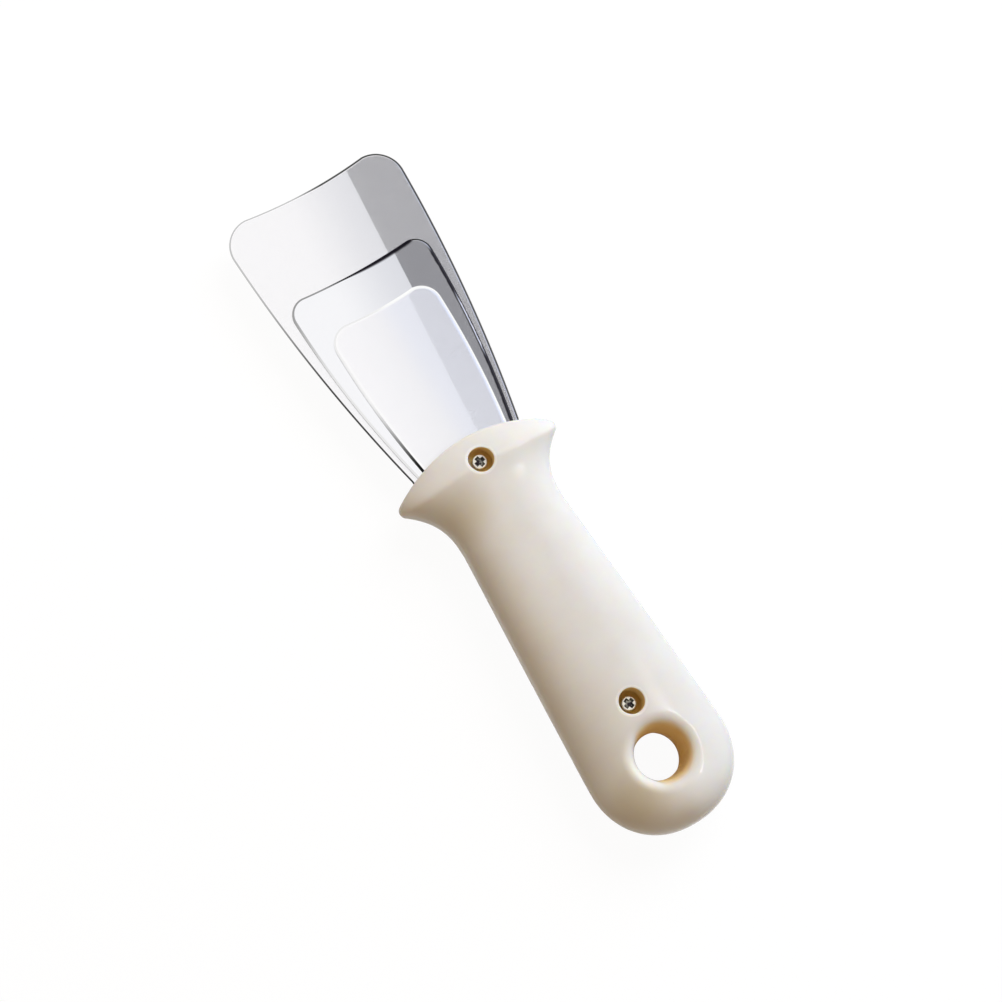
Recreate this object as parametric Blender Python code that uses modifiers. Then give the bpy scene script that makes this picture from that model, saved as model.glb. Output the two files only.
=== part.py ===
"""Freezer ice scraper: three stacked steel blades clamped in a two-piece moulded handle.

The tool lies on its back. Its long axis runs along Y, from the rounded butt to the blade tips,
and +Z is the side that carries the screw heads. Lengths are in metres.
Everything is laid out from the butt end and the parting plane, then carried by one empty, so
that the middle of the tool stands on the origin.
"""
import math

import bmesh
import bpy

# Handle outline, seen from above
HANDLE_LENGTH = 0.1354
BUTT_HALF_WIDTH = 0.0233
NECK_HALF_WIDTH = 0.0179
GUARD_HALF_WIDTH = 0.0280
FLARE_LENGTH = 0.0215
FLARE_POWER = 2.85
BUTT_POWER = 2.15

# Handle depths, measured from the parting plane to the crest
GRIP_DEPTH = 0.0120
NECK_DEPTH = 0.0106
RIDGE_DEPTH = 0.0122
LIP_DEPTH = 0.0072
BACK_FLAT_DEPTH = 0.0114
BUTT_ROUNDING = 0.0165
SECTION_POWER = 2.3

# The guard: a cross ridge, then a lip that slopes down to the blades
LIP_LENGTH = 0.0110
RIDGE_BOW = 0.0014
GUARD_TIP_RADIUS = 0.0022

# Moulding
WALL = 0.0028
GUARD_SIDE_SHARE = 1.2
RIB_THICKNESS = 0.0016
RIB_PITCH = 0.0150
CLEARANCE = 0.0003

# Hang hole through the butt, narrowest at the parting plane
HANG_HOLE_Y = 0.0230
HANG_HOLE_RADIUS = 0.00725
HANG_HOLE_DRAFT = 0.0010
HANG_HOLE_ROUNDING = 0.0045

# Two self-tapping pan-head screws in counterbores
SCREW_SHANK_RADIUS = 0.0013
SCREW_HEAD_RADIUS = 0.00235
SCREW_HEAD_HEIGHT = 0.0016
SCREW_POINT_LENGTH = 0.0030
SCREW_RECESS_WIDTH = 0.0008
SCREW_RECESS_SPAN = 0.0026
SCREW_RECESS_DEPTH = 0.0010
COUNTERBORE_RADIUS = 0.0039
BOSS_WALL = 0.0015
BLADE_SCREW_SETBACK = 0.0091
BLADE_SCREW_SUNK = 0.0040
BLADE_SCREW_REACH = 0.0068
BUTT_SCREW_SETBACK = 0.0177
BUTT_SCREW_SUNK = 0.0050
BUTT_SCREW_REACH = 0.0072

# Blades, from the back of the stack to the front
BLADE_THICKNESS = 0.0006
BLADE_EDGE_BEVEL = 0.00015
TANG_HALF_WIDTH = 0.0120
TANG_TAIL = 0.0160
SHOULDER_SETBACK = 0.0035
SHOULDER_SLOPE = 0.0040
MOUTH_SETBACK = 0.0030
PIN_RADIUS = 0.0015
PIN_SETBACK = 0.0105

LARGE_REACH = 0.0946
LARGE_HALF_WIDTH = 0.0306
LARGE_MOUTH_HALF_WIDTH = 0.0194
LARGE_CORNER = 0.0095
LARGE_TIP_HOLLOW = 0.0014
LARGE_SIDE_BOW = 0.0020

MEDIUM_REACH = 0.0639
MEDIUM_HALF_WIDTH = 0.0247
MEDIUM_MOUTH_HALF_WIDTH = 0.0174
MEDIUM_CORNER = 0.0058
MEDIUM_TIP_HOLLOW = 0.0009
MEDIUM_SIDE_BOW = 0.0016

SMALL_REACH = 0.0498
SMALL_HALF_WIDTH = 0.0187
SMALL_MOUTH_HALF_WIDTH = 0.0151
SMALL_CORNER = 0.0067
SMALL_TIP_HOLLOW = 0.0006
SMALL_SIDE_BOW = 0.0010

# Mesh fineness. The hollow of a shell is coarser than its outside.
RING_STEPS = 26
BUTT_STEPS = 9
GRIP_STEPS = 6
FLARE_STEPS = 8
LIP_STEPS = 7
HOLLOW_COARSENESS = 2
POST_STEPS = 20
HANG_HOLE_STEPS = 36
SCREW_STEPS = 20
ARC_STEPS = 6

# Places that follow from the sizes above, measured from the butt
OVERALL_LENGTH = HANDLE_LENGTH + LARGE_REACH
RIDGE_Y = HANDLE_LENGTH - LIP_LENGTH
GUARD_TIP_Y = RIDGE_Y + RIDGE_BOW
NECK_Y = GUARD_TIP_Y - FLARE_LENGTH
BUTT_CENTRE_Y = BUTT_HALF_WIDTH
BLADE_SCREW_Y = HANDLE_LENGTH - BLADE_SCREW_SETBACK
BUTT_SCREW_Y = HANG_HOLE_Y + BUTT_SCREW_SETBACK
PIN_Y = BLADE_SCREW_Y - PIN_SETBACK
TANG_END_Y = BLADE_SCREW_Y - TANG_TAIL
SHOULDER_Y = BLADE_SCREW_Y - SHOULDER_SETBACK
MOUTH_Y = HANDLE_LENGTH - MOUTH_SETBACK

BLADE_PITCH = BLADE_THICKNESS + CLEARANCE
STACK_HALF = BLADE_PITCH + BLADE_THICKNESS / 2
POCKET_DEPTH = STACK_HALF + CLEARANCE
BOSS_RADIUS = COUNTERBORE_RADIUS + BOSS_WALL
PILOT_RADIUS = SCREW_SHANK_RADIUS + CLEARANCE
PILOT_BOSS_RADIUS = PILOT_RADIUS + WALL
HOLE_TUBE_RADIUS = HANG_HOLE_RADIUS + HANG_HOLE_DRAFT + WALL
BEYOND = 0.010

FRONT = 1
REAR = -1


def clear_scene():
    for obj in list(bpy.data.objects):
        bpy.data.objects.remove(obj, do_unlink=True)


def new_collection(name):
    collection = bpy.data.collections.new(name)
    bpy.context.scene.collection.children.link(collection)
    return collection


def make_material(name, colour, roughness, metallic):
    material = bpy.data.materials.new(name)
    material.use_nodes = True
    shader = material.node_tree.nodes["Principled BSDF"]
    shader.inputs["Base Color"].default_value = (*colour, 1.0)
    shader.inputs["Roughness"].default_value = roughness
    shader.inputs["Metallic"].default_value = metallic
    material.diffuse_color = (*colour, 1.0)
    return material


def add_object(name, mesh, collection):
    obj = bpy.data.objects.new(name, mesh)
    collection.objects.link(obj)
    return obj


def add_cutter(name, mesh):
    obj = add_object(name, mesh, cutters)
    obj.hide_render = True
    obj.display_type = "WIRE"
    return obj


def boolean(obj, operation, tool):
    modifier = obj.modifiers.new(f"{operation.lower()}_{tool.name}", "BOOLEAN")
    modifier.operation = operation
    modifier.solver = "EXACT"
    modifier.object = tool


def box_cutter(name, low, high):
    """A box between two corners."""
    mesh = bpy.data.meshes.new(name)
    bm = bmesh.new()
    bmesh.ops.create_cube(bm, size=1.0)
    for vert in bm.verts:
        for axis in range(3):
            middle = (low[axis] + high[axis]) / 2
            vert.co[axis] = middle + vert.co[axis] * (high[axis] - low[axis])
    bm.to_mesh(mesh)
    bm.free()
    return add_cutter(name, mesh)


def turned(name, profile, steps):
    """A solid of revolution about Z. The profile runs from its top to its bottom, (radius, z)."""
    mesh = bpy.data.meshes.new(name)
    points = [(radius, 0.0, z) for radius, z in profile]
    mesh.from_pydata(points, [(i, i + 1) for i in range(len(points) - 1)], [])
    obj = bpy.data.objects.new(name, mesh)
    screw = obj.modifiers.new("turn", "SCREW")
    screw.axis = "Z"
    screw.steps = steps
    screw.render_steps = steps
    screw.use_merge_vertices = True
    screw.merge_threshold = 0.00001
    screw.use_smooth_shade = True
    return obj


def turned_cutter(name, profile, y, steps=POST_STEPS):
    obj = turned(name, profile, steps)
    cutters.objects.link(obj)
    obj.location.y = y
    obj.rotation_euler.z = math.pi / steps
    obj.hide_render = True
    obj.display_type = "WIRE"
    return obj


def post(name, radius, y, low, high):
    """A plain round post or bore between two heights."""
    return turned_cutter(name, [(0.0, high), (radius, high), (radius, low), (0.0, low)], y)


def counterbore(name, y, seat):
    """Room for a screw: its head stands on the floor, and its shank goes on to the other shell."""
    floor = seat - CLEARANCE
    top = RIDGE_DEPTH + BEYOND
    profile = [(0.0, top), (COUNTERBORE_RADIUS, top), (COUNTERBORE_RADIUS, floor),
               (PILOT_RADIUS, floor), (PILOT_RADIUS, -BEYOND), (0.0, -BEYOND)]
    return turned_cutter(name, profile, y)


def dome(distance, length, power):
    """How much of the full size is left at a distance from the full section, over a rounded end."""
    share = min(max(distance / length, 0.0), 1.0)
    return (1.0 - share ** power) ** (1.0 / power)


def smooth(share):
    share = min(max(share, 0.0), 1.0)
    return share * share * (3.0 - 2.0 * share)


def crest_depth(y):
    """Depth of the handle on its centre line, without its rounded butt."""
    if y > NECK_Y:
        flare = min((y - NECK_Y) / (RIDGE_Y - NECK_Y), 1.0)
        return NECK_DEPTH + (RIDGE_DEPTH - NECK_DEPTH) * flare ** FLARE_POWER
    middle_y = (BUTT_CENTRE_Y + NECK_Y) / 2
    return GRIP_DEPTH + (NECK_DEPTH - GRIP_DEPTH) * smooth((y - middle_y) / (NECK_Y - middle_y))


def grip_half_width(y):
    share = (y - BUTT_CENTRE_Y) / (NECK_Y - BUTT_CENTRE_Y)
    return BUTT_HALF_WIDTH + (NECK_HALF_WIDTH - BUTT_HALF_WIDTH) * min(share, 1.0)


def handle_stations(inset, coarseness):
    """Sections along the handle as (y at the sides, half width, depth, forward bow).

    An inset moves every section inwards by that much, which gives the hollow of the shells.
    Where the guard flares, its side leans outwards, so the hollow stays further inside.
    """
    stations = []
    butt_steps = BUTT_STEPS // coarseness
    for step in range(1, butt_steps + 1):
        angle = math.pi / 2 * step / butt_steps
        y = BUTT_CENTRE_Y - (BUTT_CENTRE_Y - inset) * math.cos(angle) ** (2 / BUTT_POWER)
        width = (BUTT_HALF_WIDTH - inset) * math.sin(angle) ** (2 / BUTT_POWER)
        rounding = dome(BUTT_ROUNDING - y, BUTT_ROUNDING - inset, BUTT_POWER)
        stations.append((y, width, (crest_depth(y) - inset) * rounding, 0.0))
    grip_steps = GRIP_STEPS // coarseness
    for step in range(1, grip_steps + 1):
        y = BUTT_CENTRE_Y + (NECK_Y - BUTT_CENTRE_Y) * step / grip_steps
        stations.append((y, grip_half_width(y) - inset, crest_depth(y) - inset, 0.0))

    round_start = math.radians(-50)
    tip_x = GUARD_HALF_WIDTH - GUARD_TIP_RADIUS
    flare_end_y = GUARD_TIP_Y + GUARD_TIP_RADIUS * math.sin(round_start)
    flare_end_width = tip_x + GUARD_TIP_RADIUS * math.cos(round_start)
    flare_steps = FLARE_STEPS // coarseness
    for step in range(1, flare_steps + 1):
        share = step / flare_steps
        y = NECK_Y + (flare_end_y - NECK_Y) * share
        width = NECK_HALF_WIDTH + (flare_end_width - NECK_HALF_WIDTH) * share ** FLARE_POWER
        side_inset = inset * (1 + GUARD_SIDE_SHARE * share * share)
        stations.append((y - inset * share, width - side_inset, crest_depth(y) - inset,
                         -RIDGE_BOW * share ** FLARE_POWER))

    round_end = math.radians(60)
    lip_steps = LIP_STEPS // coarseness
    for step in range(1, lip_steps + 1):
        share = step / lip_steps
        angle = round_start + (round_end - round_start) * share
        y = GUARD_TIP_Y + GUARD_TIP_RADIUS * math.sin(angle)
        width = tip_x + GUARD_TIP_RADIUS * math.cos(angle)
        fall = share ** 1.4
        depth = RIDGE_DEPTH + (LIP_DEPTH - RIDGE_DEPTH) * fall
        middle_y = RIDGE_Y + (HANDLE_LENGTH - RIDGE_Y) * share
        side_inset = inset * (1 + GUARD_SIDE_SHARE)
        stations.append((y - inset, width - side_inset, depth - inset, middle_y - y))
    return stations


def half_body(name, inset, base, side, coarseness=1):
    """One half of the handle as a solid, lofted over its stations, from the base height outwards.

    The lofted facets are split into flat ones, so that every cut through them meets a plane.
    """
    verts = [(0.0, inset, side * base)]
    rings = []
    ring_steps = RING_STEPS // coarseness
    for y, width, depth, bow in handle_stations(inset, coarseness):
        ring = []
        for step in range(ring_steps + 1):
            angle = math.pi * step / ring_steps
            across = math.copysign(abs(math.cos(angle)) ** (2 / SECTION_POWER), math.cos(angle))
            height = base
            if 0 < step < ring_steps:
                height = max(depth * math.sin(angle) ** (2 / SECTION_POWER), base)
            ring.append(len(verts))
            verts.append((width * across, y + bow * (1.0 - across * across), side * height))
        rings.append(ring)

    faces = [(0, rings[0][step], rings[0][step + 1]) for step in range(ring_steps)]
    for near, far in zip(rings, rings[1:]):
        for step in range(ring_steps):
            faces.append((near[step], far[step], far[step + 1], near[step + 1]))

    edge = rings[-1]
    foot = [edge[0]]
    for index in edge[1:-1]:
        x, y, _ = verts[index]
        foot.append(len(verts))
        verts.append((x, y, side * base))
    foot.append(edge[-1])
    faces.append((edge[0], foot[1], edge[1]))
    for step in range(1, ring_steps - 1):
        faces.append((edge[step], foot[step], foot[step + 1], edge[step + 1]))
    faces.append((edge[-2], foot[-2], edge[-1]))
    right_side = [ring[0] for ring in rings]
    left_side = [ring[-1] for ring in reversed(rings)]
    faces.append([0] + right_side + foot[1:-1] + left_side)

    mesh = bpy.data.meshes.new(name)
    mesh.from_pydata(verts, [], faces)
    bm = bmesh.new()
    bm.from_mesh(mesh)
    bmesh.ops.recalc_face_normals(bm, faces=bm.faces)
    bmesh.ops.triangulate(bm, faces=[face for face in bm.faces if len(face.verts) == 4])
    bm.to_mesh(mesh)
    bm.free()
    return mesh


def hang_hole(name):
    """The throat of the hang hole, which opens with a rounding towards both faces."""
    straight = GRIP_DEPTH - HANG_HOLE_ROUNDING
    neck_radius = HANG_HOLE_RADIUS + HANG_HOLE_DRAFT
    upper = []
    for step in range(ARC_STEPS + 1):
        angle = math.pi / 2 * step / ARC_STEPS
        radius = neck_radius + HANG_HOLE_ROUNDING * (1 - math.cos(angle))
        upper.append((radius, straight + HANG_HOLE_ROUNDING * math.sin(angle)))
    rim_radius = upper[-1][0]
    top = [(0.0, GRIP_DEPTH + BEYOND), (rim_radius, GRIP_DEPTH + BEYOND)] + upper[::-1]
    waist = [(HANG_HOLE_RADIUS, 0.0)]
    profile = top + waist + [(radius, -z) for radius, z in reversed(top)]
    return turned_cutter(name, profile, HANG_HOLE_Y, HANG_HOLE_STEPS)


def shell_hollow(name, side):
    """The hollow of one shell, with its posts and ribs left standing."""
    hollow = add_cutter(name, half_body(name, WALL, -CLEARANCE * 4, side, HOLLOW_COARSENESS))
    low, high = (-BEYOND, RIDGE_DEPTH) if side == FRONT else (-RIDGE_DEPTH, BEYOND)
    boss_radius = BOSS_RADIUS if side == FRONT else PILOT_BOSS_RADIUS
    keep = [
        post(f"{name}_hole_tube", HOLE_TUBE_RADIUS, HANG_HOLE_Y, low, high),
        post(f"{name}_butt_boss", boss_radius, BUTT_SCREW_Y, low, high),
        post(f"{name}_blade_boss", boss_radius, BLADE_SCREW_Y, low, high),
        post(f"{name}_pin_post", PIN_RADIUS + WALL, PIN_Y, low, high),
        box_cutter(f"{name}_spine", (-RIB_THICKNESS / 2, BUTT_SCREW_Y, low),
                   (RIB_THICKNESS / 2, PIN_Y, high)),
    ]
    rib_y = BUTT_SCREW_Y + RIB_PITCH
    while rib_y < TANG_END_Y:
        width = grip_half_width(rib_y)
        keep.append(box_cutter(f"{name}_rib_{len(keep)}", (-width, rib_y - RIB_THICKNESS / 2, low),
                               (width, rib_y + RIB_THICKNESS / 2, high)))
        rib_y += RIB_PITCH
    for standing in keep:
        boolean(hollow, "DIFFERENCE", standing)
    return hollow


def blade_pocket(name, low, high):
    """Room for the three tangs, and the slot in the guard that the blades leave through."""
    half_tang = TANG_HALF_WIDTH + CLEARANCE
    half_mouth = LARGE_MOUTH_HALF_WIDTH + CLEARANCE
    shoulder = SHOULDER_Y - SHOULDER_SLOPE
    return [
        box_cutter(f"{name}_tang", (-half_tang, TANG_END_Y - CLEARANCE, low),
                   (half_tang, BLADE_SCREW_Y, high)),
        box_cutter(f"{name}_mouth", (-half_mouth, shoulder - CLEARANCE, low),
                   (half_mouth, HANDLE_LENGTH + BEYOND, high)),
    ]


def front_shell():
    shell = add_object("handle_front_shell", half_body("front_outer", 0.0, CLEARANCE / 2, FRONT), parts)
    boolean(shell, "DIFFERENCE", shell_hollow("front_hollow", FRONT))
    for cutter in blade_pocket("front_pocket", -BEYOND, POCKET_DEPTH):
        boolean(shell, "DIFFERENCE", cutter)
    boolean(shell, "DIFFERENCE", hang_hole("front_hang_hole"))
    boolean(shell, "DIFFERENCE", counterbore("blade_counterbore", BLADE_SCREW_Y, blade_screw_seat()))
    boolean(shell, "DIFFERENCE", counterbore("butt_counterbore", BUTT_SCREW_Y, butt_screw_seat()))
    return shell


def rear_shell():
    shell = add_object("handle_rear_shell", half_body("rear_outer", 0.0, CLEARANCE / 2, REAR), parts)
    boolean(shell, "DIFFERENCE", shell_hollow("rear_hollow", REAR))
    for cutter in blade_pocket("rear_pocket", -POCKET_DEPTH, BEYOND):
        boolean(shell, "DIFFERENCE", cutter)
    pin = post("locating_pin", PIN_RADIUS, PIN_Y, -POCKET_DEPTH - WALL, STACK_HALF)
    boolean(shell, "UNION", pin)
    boolean(shell, "DIFFERENCE", hang_hole("rear_hang_hole"))
    for name, y, reach in (("blade", BLADE_SCREW_Y, BLADE_SCREW_REACH),
                           ("butt", BUTT_SCREW_Y, BUTT_SCREW_REACH)):
        boolean(shell, "DIFFERENCE", post(f"{name}_pilot", PILOT_RADIUS, y, -reach - CLEARANCE,
                                          BEYOND))
    half = GUARD_HALF_WIDTH + BEYOND
    boolean(shell, "DIFFERENCE", box_cutter("back_flat", (-half, -BEYOND, -RIDGE_DEPTH - BEYOND),
                                            (half, HANDLE_LENGTH + BEYOND, -BACK_FLAT_DEPTH)))
    return shell


def blade_screw_seat():
    return RIDGE_DEPTH - BLADE_SCREW_SUNK - SCREW_HEAD_HEIGHT


def butt_screw_seat():
    return GRIP_DEPTH - BUTT_SCREW_SUNK - SCREW_HEAD_HEIGHT


def side_curve(low, high, bow):
    """A blade's side from the mouth to the corner, bowed outwards by a little."""
    points = []
    for step in range(1, ARC_STEPS):
        share = step / ARC_STEPS
        x = low[0] + (high[0] - low[0]) * share + 4 * bow * share * (1 - share)
        points.append((x, low[1] + (high[1] - low[1]) * share))
    return points


def blade_outline(reach, half_width, mouth_half_width, corner, tip_hollow, side_bow):
    """Right half of a blade, from the middle of the tang to the middle of the tip."""
    tip_y = HANDLE_LENGTH + reach
    tang_corner = TANG_HALF_WIDTH / 4
    points = [(TANG_HALF_WIDTH - tang_corner, TANG_END_Y), (TANG_HALF_WIDTH, TANG_END_Y + tang_corner),
              (TANG_HALF_WIDTH, SHOULDER_Y - SHOULDER_SLOPE), (mouth_half_width, SHOULDER_Y),
              (mouth_half_width, MOUTH_Y)]
    corner_foot = (half_width, tip_y - corner)
    points += side_curve(points[-1], corner_foot, side_bow)
    for step in range(ARC_STEPS + 1):
        angle = math.pi / 2 * step / ARC_STEPS
        points.append((half_width - corner * (1 - math.cos(angle)),
                       tip_y - corner * (1 - math.sin(angle))))
    tip_half = half_width - corner
    for step in range(1, ARC_STEPS // 2):
        x = tip_half * (1 - step / (ARC_STEPS // 2))
        points.append((x, tip_y - tip_hollow * (1 - (x / tip_half) ** 2)))
    points.append((0.0, tip_y - tip_hollow))
    return points


def add_spline(curve, points):
    spline = curve.splines.new("POLY")
    spline.points.add(len(points) - 1)
    for point, (x, y) in zip(spline.points, points):
        point.co = (x, y, 0.0, 1.0)
    spline.use_cyclic_u = True


def circle(radius, y):
    angles = [2 * math.pi * step / SCREW_STEPS for step in range(SCREW_STEPS)]
    return [(radius * math.cos(angle), y + radius * math.sin(angle)) for angle in angles]


def blade(name, level, *sizes):
    """A flat blade with its tang, its screw hole and the hole for the locating pin."""
    right = blade_outline(*sizes)
    left = [(-x, y) for x, y in reversed(right) if x > 0.0]
    curve = bpy.data.curves.new(name, "CURVE")
    curve.dimensions = "2D"
    curve.fill_mode = "BOTH"
    curve.extrude = BLADE_THICKNESS / 2
    add_spline(curve, right + left)
    add_spline(curve, circle(SCREW_SHANK_RADIUS + CLEARANCE, BLADE_SCREW_Y))
    add_spline(curve, circle(PIN_RADIUS + CLEARANCE, PIN_Y))
    flat = add_object(f"{name}_outline", curve, cutters)
    evaluated = flat.evaluated_get(bpy.context.evaluated_depsgraph_get())
    mesh = bpy.data.meshes.new_from_object(evaluated)
    mesh.name = name
    bm = bmesh.new()
    bm.from_mesh(mesh)
    bmesh.ops.remove_doubles(bm, verts=bm.verts, dist=0.000001)
    bmesh.ops.recalc_face_normals(bm, faces=bm.faces)
    bm.to_mesh(mesh)
    bm.free()
    bpy.data.objects.remove(flat, do_unlink=True)
    obj = add_object(name, mesh, parts)
    obj.location.z = level * BLADE_PITCH
    bevel = obj.modifiers.new("ground_edges", "BEVEL")
    bevel.width = BLADE_EDGE_BEVEL
    bevel.segments = 1
    bevel.limit_method = "ANGLE"
    bevel.angle_limit = math.radians(60)
    return obj


def screw(name, y, seat, reach):
    """A pan-head self-tapping screw, with its head's underside at the seat height."""
    profile = [(0.0, seat + SCREW_HEAD_HEIGHT)]
    shoulder = SCREW_HEAD_HEIGHT * 0.45
    for step in range(1, ARC_STEPS + 1):
        angle = math.pi / 2 * step / ARC_STEPS
        profile.append((SCREW_HEAD_RADIUS * math.sin(angle),
                        seat + shoulder + (SCREW_HEAD_HEIGHT - shoulder) * math.cos(angle)))
    profile += [(SCREW_HEAD_RADIUS, seat), (SCREW_SHANK_RADIUS, seat),
                (SCREW_SHANK_RADIUS, -reach + SCREW_POINT_LENGTH),
                (SCREW_SHANK_RADIUS / 3, -reach), (0.0, -reach)]
    obj = turned(name, profile, SCREW_STEPS)
    parts.objects.link(obj)
    obj.location.y = y
    top = seat + SCREW_HEAD_HEIGHT
    for arm, (half_x, half_y) in enumerate(((SCREW_RECESS_SPAN / 2, SCREW_RECESS_WIDTH / 2),
                                            (SCREW_RECESS_WIDTH / 2, SCREW_RECESS_SPAN / 2))):
        boolean(obj, "DIFFERENCE", box_cutter(f"{name}_recess_{arm}",
                                              (-half_x, y - half_y, top - SCREW_RECESS_DEPTH),
                                              (half_x, y + half_y, top + BEYOND)))
    return obj


def main():
    frame = bpy.data.objects.new("scraper_frame", None)
    frame.location = (0.0, -OVERALL_LENGTH / 2, BACK_FLAT_DEPTH)
    frame.empty_display_size = BEYOND
    parts.objects.link(frame)

    plastic = make_material("ivory_plastic", (0.82, 0.76, 0.66), 0.35, 0.0)
    steel = make_material("polished_steel", (0.78, 0.78, 0.80), 0.12, 1.0)
    nickel = make_material("nickel_plate", (0.70, 0.69, 0.66), 0.25, 1.0)

    pieces = [
        (front_shell(), plastic),
        (rear_shell(), plastic),
        (blade("large_blade", -1, LARGE_REACH, LARGE_HALF_WIDTH, LARGE_MOUTH_HALF_WIDTH,
               LARGE_CORNER, LARGE_TIP_HOLLOW, LARGE_SIDE_BOW), steel),
        (blade("medium_blade", 0, MEDIUM_REACH, MEDIUM_HALF_WIDTH, MEDIUM_MOUTH_HALF_WIDTH,
               MEDIUM_CORNER, MEDIUM_TIP_HOLLOW, MEDIUM_SIDE_BOW), steel),
        (blade("small_blade", 1, SMALL_REACH, SMALL_HALF_WIDTH, SMALL_MOUTH_HALF_WIDTH,
               SMALL_CORNER, SMALL_TIP_HOLLOW, SMALL_SIDE_BOW), steel),
        (screw("blade_screw", BLADE_SCREW_Y, blade_screw_seat(), BLADE_SCREW_REACH), nickel),
        (screw("butt_screw", BUTT_SCREW_Y, butt_screw_seat(), BUTT_SCREW_REACH), nickel),
    ]
    for obj, material in pieces:
        obj.data.materials.clear()
        obj.data.materials.append(material)
        if obj.name.startswith("handle"):
            obj.data.shade_smooth()
    for obj in list(parts.objects) + list(cutters.objects):
        if obj is not frame:
            obj.parent = frame


clear_scene()
parts = new_collection("freezer_ice_scraper")
cutters = new_collection("cutters")
main()
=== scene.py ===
"""Looks of the freezer ice scraper: three stacked steel blades in an ivory moulded handle.

The tool lies on its back, blades towards +Y, screw heads up. Sizes are in metres. The handle is
worked out from its butt end and its parting plane, and then put where the frame says.
"""
import math

import bmesh
import bpy
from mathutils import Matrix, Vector
from mathutils.geometry import delaunay_2d_cdt


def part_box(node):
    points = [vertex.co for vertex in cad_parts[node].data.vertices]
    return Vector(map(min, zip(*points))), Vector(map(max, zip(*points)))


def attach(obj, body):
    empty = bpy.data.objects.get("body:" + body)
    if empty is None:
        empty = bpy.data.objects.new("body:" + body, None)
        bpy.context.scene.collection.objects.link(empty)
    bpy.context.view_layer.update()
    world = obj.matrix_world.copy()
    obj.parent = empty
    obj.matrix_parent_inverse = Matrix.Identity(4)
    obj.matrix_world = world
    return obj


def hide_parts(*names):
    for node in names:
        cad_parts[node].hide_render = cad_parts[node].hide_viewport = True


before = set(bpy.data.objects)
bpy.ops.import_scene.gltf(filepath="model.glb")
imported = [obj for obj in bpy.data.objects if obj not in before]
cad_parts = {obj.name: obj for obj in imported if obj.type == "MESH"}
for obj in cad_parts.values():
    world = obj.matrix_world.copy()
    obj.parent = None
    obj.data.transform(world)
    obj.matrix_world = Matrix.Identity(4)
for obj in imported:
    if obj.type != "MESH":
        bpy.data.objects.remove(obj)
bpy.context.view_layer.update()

# Camera, above the grip and a little to its left
CAMERA_PLACE = (-0.15906, -0.09952, 0.75099)
CAMERA_TURN = (12.700, -6.494, -31.787)
CAMERA_LENS = 89.773
CAMERA_SENSOR = 36.0
CAMERA_REACH = 20.0

# Handle outline and depths, as the frame has them
BUTT_HALF_WIDTH = 0.0233
BUTT_POWER = 2.15
BUTT_ROUNDING = 0.0125
BUTT_DEPTH_POWER = 2.30
BUTT_BLEND = 0.0060
NECK_HALF_WIDTH = 0.0179
FLARE_LENGTH = 0.0215
FLARE_POWER = 2.85
FLARE_SHARE = 0.6
GUARD_HALF_WIDTH = 0.0280
GUARD_TIP_RADIUS = 0.0022
GUARD_ROUND_START = math.radians(-50)
GUARD_ROUND_END = math.radians(60)
GUARD_ROUND_POWER = 0.75
GRIP_DEPTH = 0.0120
NECK_DEPTH = 0.0106
LIP_LENGTH = 0.0110
LIP_DEPTH = 0.0072
LIP_FALL_POWER = 1.4
LIP_ROUNDING = 0.0010
RIDGE_BOW = 0.0014
RIDGE_SOFTNESS = 0.0004
RIDGE_POWER = 4.5
SECTION_POWER = 2.3
BUTT_SECTION_POWER = 1.80
GUARD_SECTION_POWER = 2.12
ROUNDER_FROM_Y = 0.070
ROUNDER_TO_Y = 0.014
SEAM_GAP = 0.00015
LAND_SOFTNESS = 0.0003

# Rounding of the seam's edge, as heights over the parting plane and how far the edge turns in
SEAM_ROUND = [(0.00050, 0.0), (0.00034, 0.00003), (0.00022, 0.00010), (0.00015, 0.00020)]
SEAM_FOOT = SEAM_ROUND[-1][0]

# Holes through the shells
HANG_HOLE_Y = 0.0230
HANG_HOLE_WAIST = 0.00725
HANG_HOLE_NECK = 0.0081
HANG_HOLE_ROUNDING = 0.0045
HANG_HOLE_TAPER = 0.0050
COUNTERBORE_RADIUS = 0.0039
COUNTERBORE_ROUNDING = 0.00045
COUNTERBORE_CLEARANCE = 0.0003
COUNTERBORE_CHAMFER = 0.0002
PILOT_RADIUS = 0.0016
SCREW_HEAD_HEIGHT = 0.0016

# Inside of the shells
WALL = 0.0028
GUARD_SIDE_SHARE = 1.2
RIB_THICKNESS = 0.0016
RIB_PITCH = 0.0150
BOSS_RADIUS = 0.0054
PILOT_BOSS_RADIUS = 0.0044
PIN_RADIUS = 0.0015
STACK_HALF = 0.0012
POCKET_DEPTH = 0.0015
POST_HEIGHT = 0.040
HOLLOW_OVERLAP = 0.0012
HOLLOW_LEAST_DEPTH = 0.0005
HOLLOW_STEPS = 12
INSIDE_SIZES = ["Hole Y", "Hole Tube", "Butt Screw Y", "Blade Screw Y", "Boss", "Pin Y", "Pin Post",
                "Rib Pitch", "Rib Thickness", "Rib End Y", "Rib Half Width", "Parting Z"]

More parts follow.
